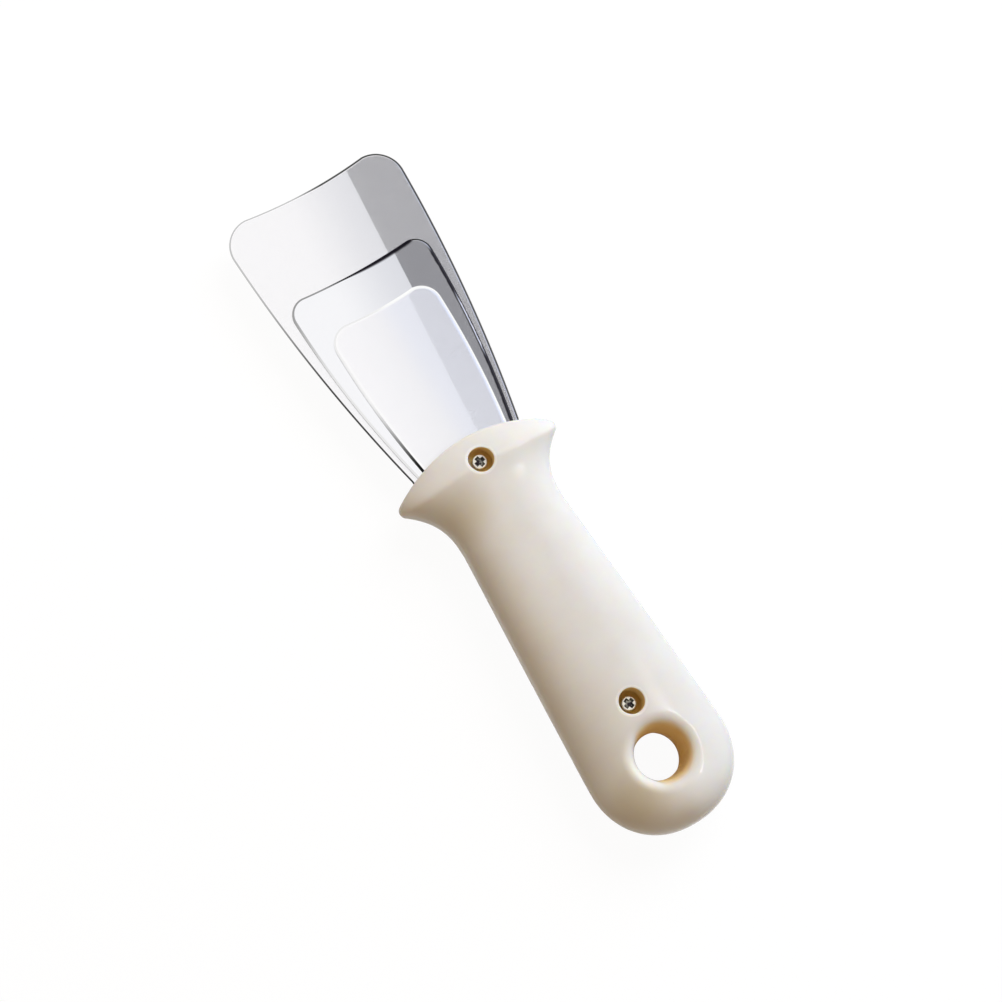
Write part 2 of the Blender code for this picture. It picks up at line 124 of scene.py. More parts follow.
# Blades and their tangs
TANG_HALF_WIDTH = 0.0120
TANG_TAIL = 0.0160
SHOULDER_SETBACK = 0.0035
SHOULDER_SLOPE = 0.0040
PIN_SETBACK = 0.0105
MOUTH_SETBACK = 0.0030
SCREW_HOLE_RADIUS = 0.0016
PIN_HOLE_RADIUS = 0.0018
RIM_DROP_SHARE = 0.75
BLADE_BURR = 0.00008
ROUND_HANDLE = 0.5523
BLADE_SIZES = ["Tip Y", "Mouth Y", "Half Width", "Mouth Half Width", "Corner", "Tip Hollow", "Side Bow",
               "Thickness", "Top", "Rim Width", "Rim Drop", "Tang Half Width", "Tang End Y", "Shoulder Y",
               "Shoulder Slope", "Screw Y", "Screw Hole", "Pin Y", "Pin Hole"]
BLADES = {
    "large": {"Mouth Half Width": 0.0194, "Corner": 0.0095, "Tip Hollow": 0.0014, "Side Bow": 0.0020,
              "Rim Width": 0.00090},
    "medium": {"Mouth Half Width": 0.0174, "Corner": 0.0058, "Tip Hollow": 0.0009, "Side Bow": 0.0016,
               "Rim Width": 0.00080},
    "small": {"Mouth Half Width": 0.0151, "Corner": 0.0067, "Tip Hollow": 0.0006, "Side Bow": 0.0010,
              "Rim Width": 0.00150},
}

# Screws
TURNING_OFFSET = 0.0010
SCREW_SIZES = ["Y", "Seat", "Head Radius", "Head Height", "Shank Radius", "Length", "Point Length",
               "Thread Pitch", "Thread Depth", "Recess Span", "Recess Width", "Recess Depth", "Turn"]
SCREW_DETAILS = {"Shank Radius": 0.0013, "Point Length": 0.0030, "Thread Pitch": 0.0011,
                 "Thread Depth": 0.0003, "Recess Span": 0.0034, "Recess Width": 0.0014,
                 "Recess Depth": 0.0010}
SCREW_TURNS = {"blade_screw": 13, "butt_screw": 20}

# Fineness of the shell's skin
SKIN_STEP = 0.0008
SKIN_MARGIN_SHARE = 0.6
STRIP_START = 0.80
STRIP_ROWS = 14
BUTT_STEPS = 44
GUARD_STEPS = 44
LIP_STEPS = 8
ACROSS_STEPS = 52
HOLE_STEPS = 72
HANG_HOLE_ROUNDING_STEPS = 12
COUNTERBORE_ROUNDING_STEPS = 5
HALVINGS = 36
CLOSE = 1e-6
VERY_CLOSE = 1e-7
SHELL_CREASE = math.radians(40)

# Fineness of the inside, the blades and the screws
POST_SIDES = 48
BORE_SIDES = 40
BLADE_SIDE_STEPS = 48
BLADE_CORNER_STEPS = 24
BLADE_TIP_STEPS = 24
RIM_STEPS = 9
CROWN_STEPS = 6
FLANK_STEPS = 14
SCREW_SIDES = 48
THREAD_STEPS = 24
THREAD_SIDES = 3
POCKET_SIDES = 20
SCREW_CREASE = math.radians(35)

# Places taken from the frame
front_low, front_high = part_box("handle_front_shell")
rear_low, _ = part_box("handle_rear_shell")
BUTT_END = front_low.y
PARTING = front_low.z - SEAM_GAP
HANDLE_LENGTH = front_high.y - front_low.y
RIDGE_DEPTH = front_high.z - PARTING
LAND_DEPTH = PARTING - rear_low.z
RIDGE_Y = HANDLE_LENGTH - LIP_LENGTH
GUARD_TIP_Y = RIDGE_Y + RIDGE_BOW
NECK_Y = GUARD_TIP_Y - FLARE_LENGTH
BUTT_CENTRE_Y = BUTT_HALF_WIDTH
FRONT = 1
REAR = -1

# Studio
WHITE = (1.0, 1.0, 1.0)
BLACK = (0.0, 0.0, 0.0)
AMBIENT = (0.348, 0.262, 0.174)
FLOOR_HALF = 3.0
FLOOR_TINT = (0.42, 0.39, 0.34)
FLOOR_SHADOW = (0.07, 0.07, 0.07)
FLOOR_GLOW = 0.95
LAMP_AIM = (0, 0, 0.012)
LAMP_DISTANCE = 1.1
LAMP_SIZE = 0.7
LAMPS = (("key", (0.83, 0.56, 1.0), 8.7, (0.938, 0.952, 1.0)),
         ("side", (1.0, 0.2, 0.45), 6.1, (0.386, 0.640, 1.0)))

# What the steel and the gloss mirror. A card's edge has an x at its near end and one at its far end.
CARD_HEIGHT = 0.9114
CARD_NEAR_Y = 0.060
CARD_FAR_Y = 0.430
CARD_EDGES = ((0.050, 0.050), (0.1995, 0.2312), (0.305, 0.325), (0.700, 0.700))
SHEET_WHITE = (0.78, 0.79, 0.82)
SHEET_SHADE_REACH = 0.055
CARD_GREY = (0.29, 0.29, 0.305)
SHEET_COOL = (0.72, 0.78, 1.0)
GLOSS_COLOUR = (1.00, 0.98, 0.94)
GLOSS_CARDS = (("guard_gloss", (1.425, -0.154, 2.193), 0.300, 0.160, 3.2),
               ("butt_gloss", (0.638, -0.128, 0.797), 0.080, 0.030, 11.0))

# Ivory plastic. A place of painted shade is its x and y, its reach and its strength.
IVORY = (0.860, 0.832, 0.775)
IVORY_MOTTLE = (0.845, 0.812, 0.748)
# Painted highlight: the pale ivory round the holes' rims
PAINTED_RIM_HIGHLIGHT = (0.990, 0.955, 0.870)
# Painted shade: a darker, yellower ivory on the left behind the guard's ridge and on the left of the butt
PAINTED_SHADE_YELLOW = (0.700, 0.630, 0.470)
PAINTED_SHADE_PLACES = ((-0.0120, 0.1150, 0.0120, 0.70), (-0.0135, 0.0150, 0.0140, 0.90))
# Painted shade down in the holes: amber on most of a wall, grey on a counterbore's left, dark brown on the
# hang hole's left
PAINTED_AMBER_SHADE = (0.800, 0.580, 0.230)
PAINTED_GREY_SHADE = (0.520, 0.460, 0.400)
PAINTED_BROWN_SHADE = (0.140, 0.115, 0.085)
# Painted light: a faint orange glow on the hang hole's right wall
PAINTED_WALL_GLOW = (0.052, 0.018, 0.000)
GRAIN_HEIGHT = 0.000003

# Across the handle: where the painted shade on a hole's wall turns amber from its left side, and where the
# painted highlight turns its rim pale
COUNTERBORE_TURN = (-0.0036, -0.0012)
HANG_HOLE_TURN = (-0.0068, -0.0035)
PALE_RIM_TURN = (-0.0020, -0.0065)
PALE_RIM_WIDTH = 0.0010
PALE_RIM_FADE = 0.0034

# Steel of the blades
GROUND_ROUGHNESS = 0.22
MATT_ROUGHNESS = 0.40
MIRROR_ROUGHNESS = 0.01
# Painted shade: the dark band along a blade's tip
PAINTED_TIP_SHADE = (0.012, 0.010, 0.016)
# Painted shade in a blade's side line, and a painted highlight as its glint
PAINTED_SIDE_SHADE = (0.050, 0.048, 0.055)
PAINTED_SIDE_GLINT = (0.95, 0.95, 0.97)
# Across a blade: where the matt colour turns to the painted reflection tint of its right part
PAINTED_REFLECTION_TURN = (-0.004, 0.006)
# Across a blade: where the painted edge tone turns from the left side's to the right side's
EDGE_TURN = (-0.006, 0.006)
# In a finish, the matt colour on the right is a painted reflection: a cool tint on the small blade
FINISHES = {
    "large": {"bright": (0.94, 0.93, 0.94), "matt": (1.00, 0.99, 0.99), "painted_reflection_right": (1.00, 0.99, 0.99),
              "matt_share": 0.31, "lean": 0.0,
              "painted_edge_tones": {"turn": 0.60, "left_start": 0.090, "right_start": 0.002, "left_tip": 0.55,
                             "left_mouth": 0.06, "right_tip": 0.08, "right_mouth": 0.10}},
    "medium": {"bright": (0.93, 0.93, 0.95), "matt": (0.90, 0.90, 0.95), "painted_reflection_right": (0.90, 0.90, 0.95),
               "matt_share": 0.04, "lean": 0.0018,
               "painted_edge_tones": {"turn": 0.80, "left_start": 0.002, "right_start": 0.002, "left_tip": 0.30,
                              "left_mouth": 0.80, "right_tip": 0.02, "right_mouth": 0.10},
               "painted_tip_band": {"band_width": 0.0015, "start_x": -0.0170, "full_x": 0.0115, "end_x": 0.0250},
               "painted_side_width": 0.0013},
    "small": {"bright": (0.97, 0.965, 0.975), "matt": (1.00, 0.985, 0.985), "painted_reflection_right": (0.93, 0.94, 1.00),
              "matt_share": 0.60, "lean": -0.0010,
              "painted_edge_tones": {"turn": 0.30, "left_start": 0.150, "right_start": 0.002, "left_tip": 0.86,
                             "left_mouth": 0.01, "right_tip": 0.98, "right_mouth": 0.96}},
}

# Plate of the screws, and the painted shade in their cross recess
NICKEL = (0.84, 0.80, 0.70)
NICKEL_WORN = (0.55, 0.52, 0.45)
RECESS_SHADE_DARK = (0.035, 0.028, 0.032)
RECESS_SHADE_PALE = (0.330, 0.320, 0.270)


def smooth(share):
    share = min(max(share, 0.0), 1.0)
    return share * share * (3.0 - 2.0 * share)


def soft_lower(first, second, softness):
    """The lower of two heights, with the crease between them rounded."""
    near = max(softness - abs(first - second), 0.0) / softness
    return min(first, second) - near * near * softness / 4


def between(first, second, share):
    return first + (second - first) * share


def node_middle(name):
    low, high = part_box(name)
    return (low + high) / 2


# Objects and meshes

def linked(name, data):
    obj = bpy.data.objects.new(name, data)
    bpy.context.scene.collection.objects.link(obj)
    return obj


def cleaned(mesh, double=0.0, sliver=0.0, triangles=False):
    """Merges double points, takes out slivers, splits the faces if asked, and turns them outwards."""
    bm = bmesh.new()
    bm.from_mesh(mesh)
    if double:
        bmesh.ops.remove_doubles(bm, verts=bm.verts, dist=double)
    if sliver:
        bmesh.ops.dissolve_degenerate(bm, edges=bm.edges, dist=sliver)
    if triangles:
        bmesh.ops.triangulate(bm, faces=bm.faces)
    bmesh.ops.recalc_face_normals(bm, faces=bm.faces)
    bm.to_mesh(mesh)
    bm.free()
    return mesh


def mesh_of(name, points, faces):
    mesh = bpy.data.meshes.new(name)
    mesh.from_pydata(points, [], faces)
    return mesh


def settle(obj):
    """Makes what an object's modifiers give its plain mesh."""
    evaluated = obj.evaluated_get(bpy.context.evaluated_depsgraph_get())
    mesh = bpy.data.meshes.new_from_object(evaluated)
    obj.modifiers.clear()
    obj.data = mesh


# Surface of one half of the handle

def side_half_width(y):
    """Half width of the butt and the grip."""
    slope = (NECK_HALF_WIDTH - BUTT_HALF_WIDTH) / (NECK_Y - BUTT_CENTRE_Y)
    past = y - BUTT_CENTRE_Y
    if past < 0:
        width = BUTT_HALF_WIDTH * max(1 - (-past / BUTT_CENTRE_Y) ** BUTT_POWER, 0.0) ** (1 / BUTT_POWER)
    else:
        width = BUTT_HALF_WIDTH + slope * past
    near = max(BUTT_BLEND - abs(past), 0.0)
    return width + slope * near * near / (4 * BUTT_BLEND)


def centre_depth(y):
    """Depth on the centre line, from the butt end to the front edge of the lip."""
    if y < NECK_Y:
        middle = (BUTT_CENTRE_Y + NECK_Y) / 2
        depth = between(GRIP_DEPTH, NECK_DEPTH, smooth((y - middle) / (NECK_Y - middle)))
        share = min(max((BUTT_ROUNDING - y) / BUTT_ROUNDING, 0.0), 1.0)
        return depth * (1 - share ** BUTT_DEPTH_POWER) ** (1 / BUTT_DEPTH_POWER)
    rise = ((y - NECK_Y) / (RIDGE_Y - NECK_Y)) ** RIDGE_POWER
    fall = max((y - RIDGE_Y) / LIP_LENGTH, 0.0) ** LIP_FALL_POWER
    depth = soft_lower(between(NECK_DEPTH, RIDGE_DEPTH, rise), between(RIDGE_DEPTH, LIP_DEPTH, fall),
                       RIDGE_SOFTNESS)
    left = max(LIP_ROUNDING - (HANDLE_LENGTH - y), 0.0)
    drop = LIP_ROUNDING - math.sqrt(max(LIP_ROUNDING ** 2 - left ** 2, 0.0))
    return depth * (1 - drop / LIP_DEPTH)


def guard_station(share):
    """Where the guard's section at a share from the neck to the lip meets its side and its centre line.

    The side flares and then turns round the guard's tip; the centre line runs straight on.
    """
    tip_x = GUARD_HALF_WIDTH - GUARD_TIP_RADIUS
    flare_y = GUARD_TIP_Y + GUARD_TIP_RADIUS * math.sin(GUARD_ROUND_START)
    flare_x = tip_x + GUARD_TIP_RADIUS * math.cos(GUARD_ROUND_START)
    if share < FLARE_SHARE:
        along = share / FLARE_SHARE
        side_y = between(NECK_Y, flare_y, along)
        width = between(NECK_HALF_WIDTH, flare_x, along ** FLARE_POWER)
        return side_y, width, side_y - RIDGE_BOW * along ** FLARE_POWER
    along = (share - FLARE_SHARE) / (1 - FLARE_SHARE)
    angle = between(GUARD_ROUND_START, GUARD_ROUND_END, along)
    side_y = GUARD_TIP_Y + GUARD_TIP_RADIUS * math.sin(angle)
    width = tip_x + GUARD_TIP_RADIUS * math.cos(angle)
    return side_y, width, between(flare_y - RIDGE_BOW, HANDLE_LENGTH, along ** GUARD_ROUND_POWER)


def find_share(test):
    """The share between 0 and 1 where a rising test turns from false to true."""
    low, high = 0.0, 1.0
    for _ in range(HALVINGS):
        middle = (low + high) / 2
        if test(middle):
            high = middle
        else:
            low = middle
    return (low + high) / 2


def section_power(y):
    """How square a section is. It gets rounder towards the butt, and a little rounder at the guard."""
    butt = smooth((ROUNDER_FROM_Y - y) / (ROUNDER_FROM_Y - ROUNDER_TO_Y))
    guard = smooth((y - NECK_Y) / (RIDGE_Y - NECK_Y))
    return (SECTION_POWER + (BUTT_SECTION_POWER - SECTION_POWER) * butt
            + (GUARD_SECTION_POWER - SECTION_POWER) * guard)


def section_height(across, depth, y):
    """Height at a share across a section, by the depth and the place of its middle."""
    power = section_power(y)
    return depth * max(1 - min(abs(across), 1.0) ** power, 0.0) ** (1 / power)


def bowed_y(side_y, centre_y, across):
    """How far along a bowed section lies at a share across it."""
    return between(side_y, centre_y, 1 - across ** 2)


def half_height(x, y):
    """Height of the handle's outside over the parting plane."""
    if y <= NECK_Y:
        width = side_half_width(y)
        return section_height(x / width if width else 1.0, centre_depth(y), y)

    def passed(share):
        side_y, width, centre_y = guard_station(share)
        return bowed_y(side_y, centre_y, x / width) > y

    _, width, centre_y = guard_station(find_share(passed))
    return section_height(x / width, centre_depth(centre_y), centre_y)


def skin_height(x, y, side):
    """The outside's height, with the flat land that the rear shell lies on."""
    height = half_height(x, y)
    if side == REAR:
        height = soft_lower(height, LAND_DEPTH, LAND_SOFTNESS)
    return height


class ShellMesh:
    """Gathers the points and faces of one shell, in the handle's own coordinates."""

    def __init__(self, side):
        self.side = side
        self.points = []
        self.faces = []

    def add(self, x, y, z):
        self.points.append((x, y + BUTT_END, PARTING + self.side * z))
        return len(self.points) - 1

    def plan(self, points):
        """Where points lie across and along the handle."""
        return [(self.points[i][0], self.points[i][1] - BUTT_END) for i in points]

    def bridge(self, near, far, closed=False):
        """Faces between two rows of as many points."""
        count = len(near)
        for i in range(count if closed else count - 1):
            j = (i + 1) % count
            self.faces.append((near[i], near[j], far[j], far[i]))

    def bridge_all(self, rows, closed=False):
        for near, far in zip(rows, rows[1:]):
            self.bridge(near, far, closed)

    def fill(self, loops, inside, height=None, step=None):
        """Fills a flat outline with holes by triangles, over points on the surface if there is a step."""
        flat = []
        edges = []
        index = []
        for loop in loops:
            first = len(flat)
            flat += [Vector(spot) for spot in self.plan(loop)]
            index += loop
            edges += [(first + i, first + (i + 1) % len(loop)) for i in range(len(loop))]
        if step:
            for x, y in hexagonal_grid(step):
                if inside(x, y, step * SKIN_MARGIN_SHARE):
                    flat.append(Vector((x, y)))
                    index.append(self.add(x, y, height(x, y)))
        _, _, faces, origins, _, _ = delaunay_2d_cdt(flat, edges, [], 0, VERY_CLOSE)
        for face in faces:
            corners = [flat[origins[i][0]] for i in face]
            middle = sum(corners, Vector((0.0, 0.0))) / len(corners)
            if inside(middle.x, middle.y, 0.0):
                self.faces.append(tuple(index[origins[i][0]] for i in face))


def hexagonal_grid(step):
    row = 0
    y = step / 2
    while y < HANDLE_LENGTH:
        x = -GUARD_HALF_WIDTH + (step / 2 if row % 2 else 0.0)
        while x < GUARD_HALF_WIDTH:
            yield x, y
            x += step
        row += 1
        y += step * math.sqrt(3) / 2


def butt_spot(step, steps, inset=0.0):
    """Place along the handle and half width at a step round the butt's quarter turn."""
    angle = math.pi / 2 * step / steps
    y = BUTT_CENTRE_Y - (BUTT_CENTRE_Y - inset) * math.cos(angle) ** (2 / BUTT_POWER)
    return y, (BUTT_HALF_WIDTH - inset) * math.sin(angle) ** (2 / BUTT_POWER)


def grip_spots(steps):
    """Places along the grip, from the middle of the butt's round to the neck."""
    return [between(BUTT_CENTRE_Y, NECK_Y, step / steps) for step in range(steps + 1)]


def strip_stations():
    """Places round the half outline, from the butt's end to the guard.

    A place on the butt is its half width and how far along it lies. One on a side is its half width,
    and how far along its section lies at the side and on the centre line.
    """
    stations = []
    for step in range(BUTT_STEPS):
        y, _ = butt_spot(step, BUTT_STEPS)
        stations.append(("butt", side_half_width(y) if step else 0.0, y))
    for y in grip_spots(round((NECK_Y - BUTT_CENTRE_Y) / SKIN_STEP))[:-1]:
        stations.append(("side", side_half_width(y), y, y))
    lip_start = find_share(lambda share: guard_station(share)[2] > HANDLE_LENGTH - LIP_ROUNDING)
    for step in range(GUARD_STEPS + 1):
        side_y, width, centre_y = guard_station(lip_start * step / GUARD_STEPS)
        stations.append(("side", width, side_y, centre_y))
    return stations


def lip_stations():
    """The last stations, round the front edge of the lip."""
    stations = []
    for step in range(1, LIP_STEPS + 1):
        centre_y = HANDLE_LENGTH - LIP_ROUNDING * (1 - math.sin(math.pi / 2 * step / LIP_STEPS))
        share = find_share(lambda share: guard_station(share)[2] > centre_y) if step < LIP_STEPS else 1.0
        side_y, width, centre_y = guard_station(share)
        stations.append(("side", width, side_y, centre_y))
    return stations


def strip_rows():
    """Rows down the side, as shares of the strip's top height."""
    start = math.acos(STRIP_START ** (SECTION_POWER / 2))
    top = math.sin(start) ** (2 / SECTION_POWER)
    return [math.sin(start * (1 - row / STRIP_ROWS)) ** (2 / SECTION_POWER) / top
            for row in range(STRIP_ROWS)]


def station_point(station, share):
    """A point at a share across the handle at one station: plan place and height."""
    if station[0] == "butt":
        x = station[1] * share
        y = between(BUTT_CENTRE_Y, station[2], share)
        return x, y, half_height(x, y)
    _, width, side_y, centre_y = station
    return (width * share, bowed_y(side_y, centre_y, share),
            section_height(share, centre_depth(centre_y), centre_y))


def station_column(station):
    """The points down the right side at a station, from the strip's top to the seam."""
    top = station_point(station, STRIP_START)[2]
    column = []
    heights = [(top * row, 0.0) for row in strip_rows()] + SEAM_ROUND
    for height, turn_in in heights:
        if station[0] == "butt":
            span = 1 - STRIP_START
            share = STRIP_START + span * find_share(
                lambda s: station_point(station, STRIP_START + span * s)[2] < height)
            if height == top:
                share = STRIP_START
        else:
            depth = centre_depth(station[3])
            power = section_power(station[3])
            share = max(1 - (height / depth) ** power, 0.0) ** (1 / power)
        share -= turn_in / BUTT_HALF_WIDTH
        x, y, _ = station_point(station, share)
        column.append((x, y, height))
    return column


def turned_back(column, front_y):
    """A column whose seam stays behind the seam's rounding at the front edge."""
    plain = column[:-len(SEAM_ROUND)]
    seam = column[-len(SEAM_ROUND):]
    return plain + [(x, min(y, front_y - turn_in), z) for (x, y, z), (_, turn_in) in zip(seam, SEAM_ROUND)]


def side_strips(shell, stations):
    """Columns down the sides, from the left end of the lip round the butt to the right end of the lip."""
    right = [station_column(station) for station in stations]
    front_y = right[-1][-1][1]
    right = [turned_back(column, front_y) for column in right]
    left = [[(-x, y, z) for x, y, z in column] for column in right[1:]]
    columns = [[shell.add(*point) for point in column] for column in left[::-1] + right]
    shell.bridge_all(columns)
    return columns


def lip_rows(shell, stations, columns):
    """Rows across the guard's last station and the stations round the lip's front edge."""
    shares = [STRIP_START * (2 * step / ACROSS_STEPS - 1) for step in range(1, ACROSS_STEPS)]
    rows = []
    for index, station in enumerate(stations, 1 - len(stations)):
        row = [shell.add(*station_point(station, share)) for share in shares]
        rows.append([columns[-index][0], *row, columns[index - 1][0]])
    shell.bridge_all(rows)
    return rows


def seam_at_the_lip(shell, edge, columns):
    """The wall under the front edge, which turns in at the seam. Gives its lowest row."""
    seam_turns = {}
    for column in (columns[0], columns[-1]):
        for point, (_, turn_in) in zip(column[-len(SEAM_ROUND):], SEAM_ROUND):
            seam_turns[point] = turn_in
    rows = [edge]
    for corner, (height, turn_in) in zip(columns[-1][-len(SEAM_ROUND):], SEAM_ROUND):
        corner_x, corner_y, _ = shell.points[corner]
        row = []
        for point in edge:
            if seam_turns.get(point, 0.0) > turn_in:
                row.append(point)
                continue
            x, y, z = shell.points[point]
            if abs(x) > corner_x or point in seam_turns:
                x = math.copysign(corner_x, x)
                y = corner_y - BUTT_END
            else:
                y = y - BUTT_END - turn_in
            row.append(shell.add(x, y, min(height, abs(z - PARTING))))
        rows.append(row)
    shell.bridge_all(rows)
    return rows[-1]


def ring(radius, y, steps=HOLE_STEPS):
    for step in range(steps):
        angle = 2 * math.pi * step / steps
        yield radius * math.cos(angle), y + radius * math.sin(angle)


def round_over(shell, radius, rounding, y, steps):
    """Rings that roll the skin over into a hole. Gives the outer one and the one at the hole's wall."""
    rings = []
    for step in range(steps + 1):
        angle = math.pi / 2 * (1 - step / steps)
        distance = radius + rounding * (1 - math.cos(angle))
        drop = rounding * (1 - math.sin(angle))
        rings.append([shell.add(x, py, skin_height(x, py, shell.side) - drop)
                      for x, py in ring(distance, y)])
    shell.bridge_all(rings, closed=True)
    return rings[0], rings[-1]


def hole_wall(shell, top_ring, y, levels):
    """Rings down a hole, level by level, as (radius, height). Gives the lowest."""
    last = top_ring
    for radius, height in levels:
        row = [shell.add(x, py, height) for x, py in ring(radius, y)]
        shell.bridge(last, row, closed=True)
        last = row
    return last


def hang_hole(shell):
    """The hang hole's rim and its ring at the parting plane."""
    rim, top = round_over(shell, HANG_HOLE_NECK, HANG_HOLE_ROUNDING, HANG_HOLE_Y, HANG_HOLE_ROUNDING_STEPS)
    levels = [(between(HANG_HOLE_WAIST, HANG_HOLE_NECK, share), between(SEAM_FOOT, HANG_HOLE_TAPER, share))
              for share in (0.8, 0.6, 0.4, 0.2, 0.0)]
    return rim, hole_wall(shell, top, HANG_HOLE_Y, levels)


def screw_well(shell, y, seat):
    """A counterbore's rim, and its screw hole's ring at the parting plane."""
    rim, top = round_over(shell, COUNTERBORE_RADIUS, COUNTERBORE_ROUNDING, y, COUNTERBORE_ROUNDING_STEPS)
    floor = seat - COUNTERBORE_CLEARANCE
    levels = [(COUNTERBORE_RADIUS, floor + COUNTERBORE_CHAMFER),
              (COUNTERBORE_RADIUS - COUNTERBORE_CHAMFER, floor), (PILOT_RADIUS, floor),
              (PILOT_RADIUS, SEAM_FOOT)]
    return rim, hole_wall(shell, top, y, levels)


def in_a_hole(x, y, holes, margin=0.0):
    return any(math.hypot(x, y - hole_y) < radius + margin for hole_y, radius in holes)


def between_strips(x, y, margin, last_station):
    """Whether a spot lies on the top of the shell, between its side strips and behind the lip's rows."""
    if y < BUTT_CENTRE_Y:
        x /= STRIP_START
        y = BUTT_CENTRE_Y + (y - BUTT_CENTRE_Y) / STRIP_START
        return y > 0 and abs(x) < side_half_width(y) - margin
    if y <= NECK_Y:
        return abs(x) < STRIP_START * side_half_width(y) - margin
    _, width, side_y, centre_y = last_station
    if abs(x) < width and y + margin > bowed_y(side_y, centre_y, x / width):
        return False

    def passed(share):
        side_y, _, centre_y = guard_station(share)
        return bowed_y(side_y, centre_y, STRIP_START) > y

    return abs(x) < STRIP_START * guard_station(find_share(passed))[1] - margin


def in_border(x, y, border):
    """Whether a spot lies inside a closed border. A line from it then crosses an odd number of edges."""
    crossings = 0
    for (x0, y0), (x1, y1) in zip(border, border[1:] + border[:1]):
        if (y0 > y) != (y1 > y) and x < x0 + (x1 - x0) * (y - y0) / (y1 - y0):
            crossings += 1
    return crossings % 2 == 1


def handle_shell(name, side, seats):
    """One moulded half as a closed solid. Seats maps a screw's place along the handle to its seat height."""
    shell = ShellMesh(side)
    stations = strip_stations()
    lip = lip_stations()
    columns = side_strips(shell, stations + lip)
    rows = lip_rows(shell, [stations[-1]] + lip, columns)
    edge = columns[0][::-1] + rows[-1][1:-1] + columns[-1]
    seam = seam_at_the_lip(shell, edge, columns)
    openings = [hang_hole(shell)] + [screw_well(shell, y, seat) for y, seat in seats.items()]

    rims = [(HANG_HOLE_Y, HANG_HOLE_NECK + HANG_HOLE_ROUNDING)]
    rims += [(y, COUNTERBORE_RADIUS + COUNTERBORE_ROUNDING) for y in seats]
    inner = [column[0] for column in columns[len(lip):len(columns) - len(lip)]]
    shell.fill([inner + rows[0][-2:0:-1]] + [rim for rim, _ in openings],
               lambda x, y, margin: not in_a_hole(x, y, rims, margin)
               and between_strips(x, y, margin, stations[-1]),
               lambda x, y: skin_height(x, y, side), SKIN_STEP)

    bottoms = [(HANG_HOLE_Y, HANG_HOLE_WAIST)] + [(y, PILOT_RADIUS) for y in seats]
    foot = [column[-1] for column in columns] + seam[::-1]
    border = shell.plan(foot)
    shell.fill([foot] + [bottom for _, bottom in openings],
               lambda x, y, _: not in_a_hole(x, y, bottoms) and in_border(x, y, border))
    mesh = mesh_of(name, shell.points, shell.faces)
    return linked(name, cleaned(mesh, double=CLOSE * 2, sliver=CLOSE))


# Insides of the shells

def shell_solid(name, points, faces):
    """A closed mesh in the handle's own coordinates, as an object."""
    placed = [(x, y + BUTT_END, z + PARTING) for x, y, z in points]
    return linked(name, cleaned(mesh_of(name, placed, faces), triangles=True))


def hollow_sections():
    """Sections of the hollow, a wall inside the handle: y at the sides, half width, depth, forward bow."""
    sections = []
    for step in range(1, HOLLOW_STEPS + 1):
        y, width = butt_spot(step, HOLLOW_STEPS, WALL)
        sections.append((y, width, max(centre_depth(y) - WALL, HOLLOW_LEAST_DEPTH), 0.0))
    for y in grip_spots(HOLLOW_STEPS)[1:]:
        sections.append((y, side_half_width(y) - WALL, centre_depth(y) - WALL, 0.0))
    for step in range(1, HOLLOW_STEPS * 2 + 1):
        share = step / HOLLOW_STEPS / 2
        side_y, width, centre_y = guard_station(share)
        inset = WALL * (1 + GUARD_SIDE_SHARE * min(share / FLARE_SHARE, 1.0) ** 2)
        sections.append((side_y - WALL * share, width - inset, centre_depth(centre_y - WALL) - WALL,
                         centre_y - side_y - WALL * (1 - share)))
    return sections


def hollow_body(name, side):
    """The hollow of one shell as a closed mesh, from just past the parting plane outwards."""
    inner = -side * HOLLOW_OVERLAP
    across_steps = HOLLOW_STEPS * 2
    points = [(0.0, WALL, inner)]
    rings = []
    for y, width, depth, bow in hollow_sections():
        rings.append(range(len(points), len(points) + across_steps + 1))
        for step in range(across_steps + 1):
            across = -math.cos(math.pi * step / across_steps)
            at_side = step in (0, across_steps)
            z = inner if at_side else side * section_height(across, depth, y)
            points.append((width * across, y + bow * (1 - across * across), z))
    faces = [(0, near, far) for near, far in zip(rings[0], rings[0][1:])]
    for near, far in zip(rings, rings[1:]):
        faces += [(near[i], far[i], far[i + 1], near[i + 1]) for i in range(across_steps)]
    last = rings[-1]
    foot = [last[0], *range(len(points), len(points) + across_steps - 1), last[-1]]
    points += [(*points[point][:2], inner) for point in last[1:-1]]
    for i in range(across_steps):
        faces.append(tuple(dict.fromkeys((last[i], last[i + 1], foot[i + 1], foot[i]))))
    faces.append((0, *(row[0] for row in rings), *foot[1:-1], *(row[-1] for row in reversed(rings))))
    return shell_solid(name, points, faces)


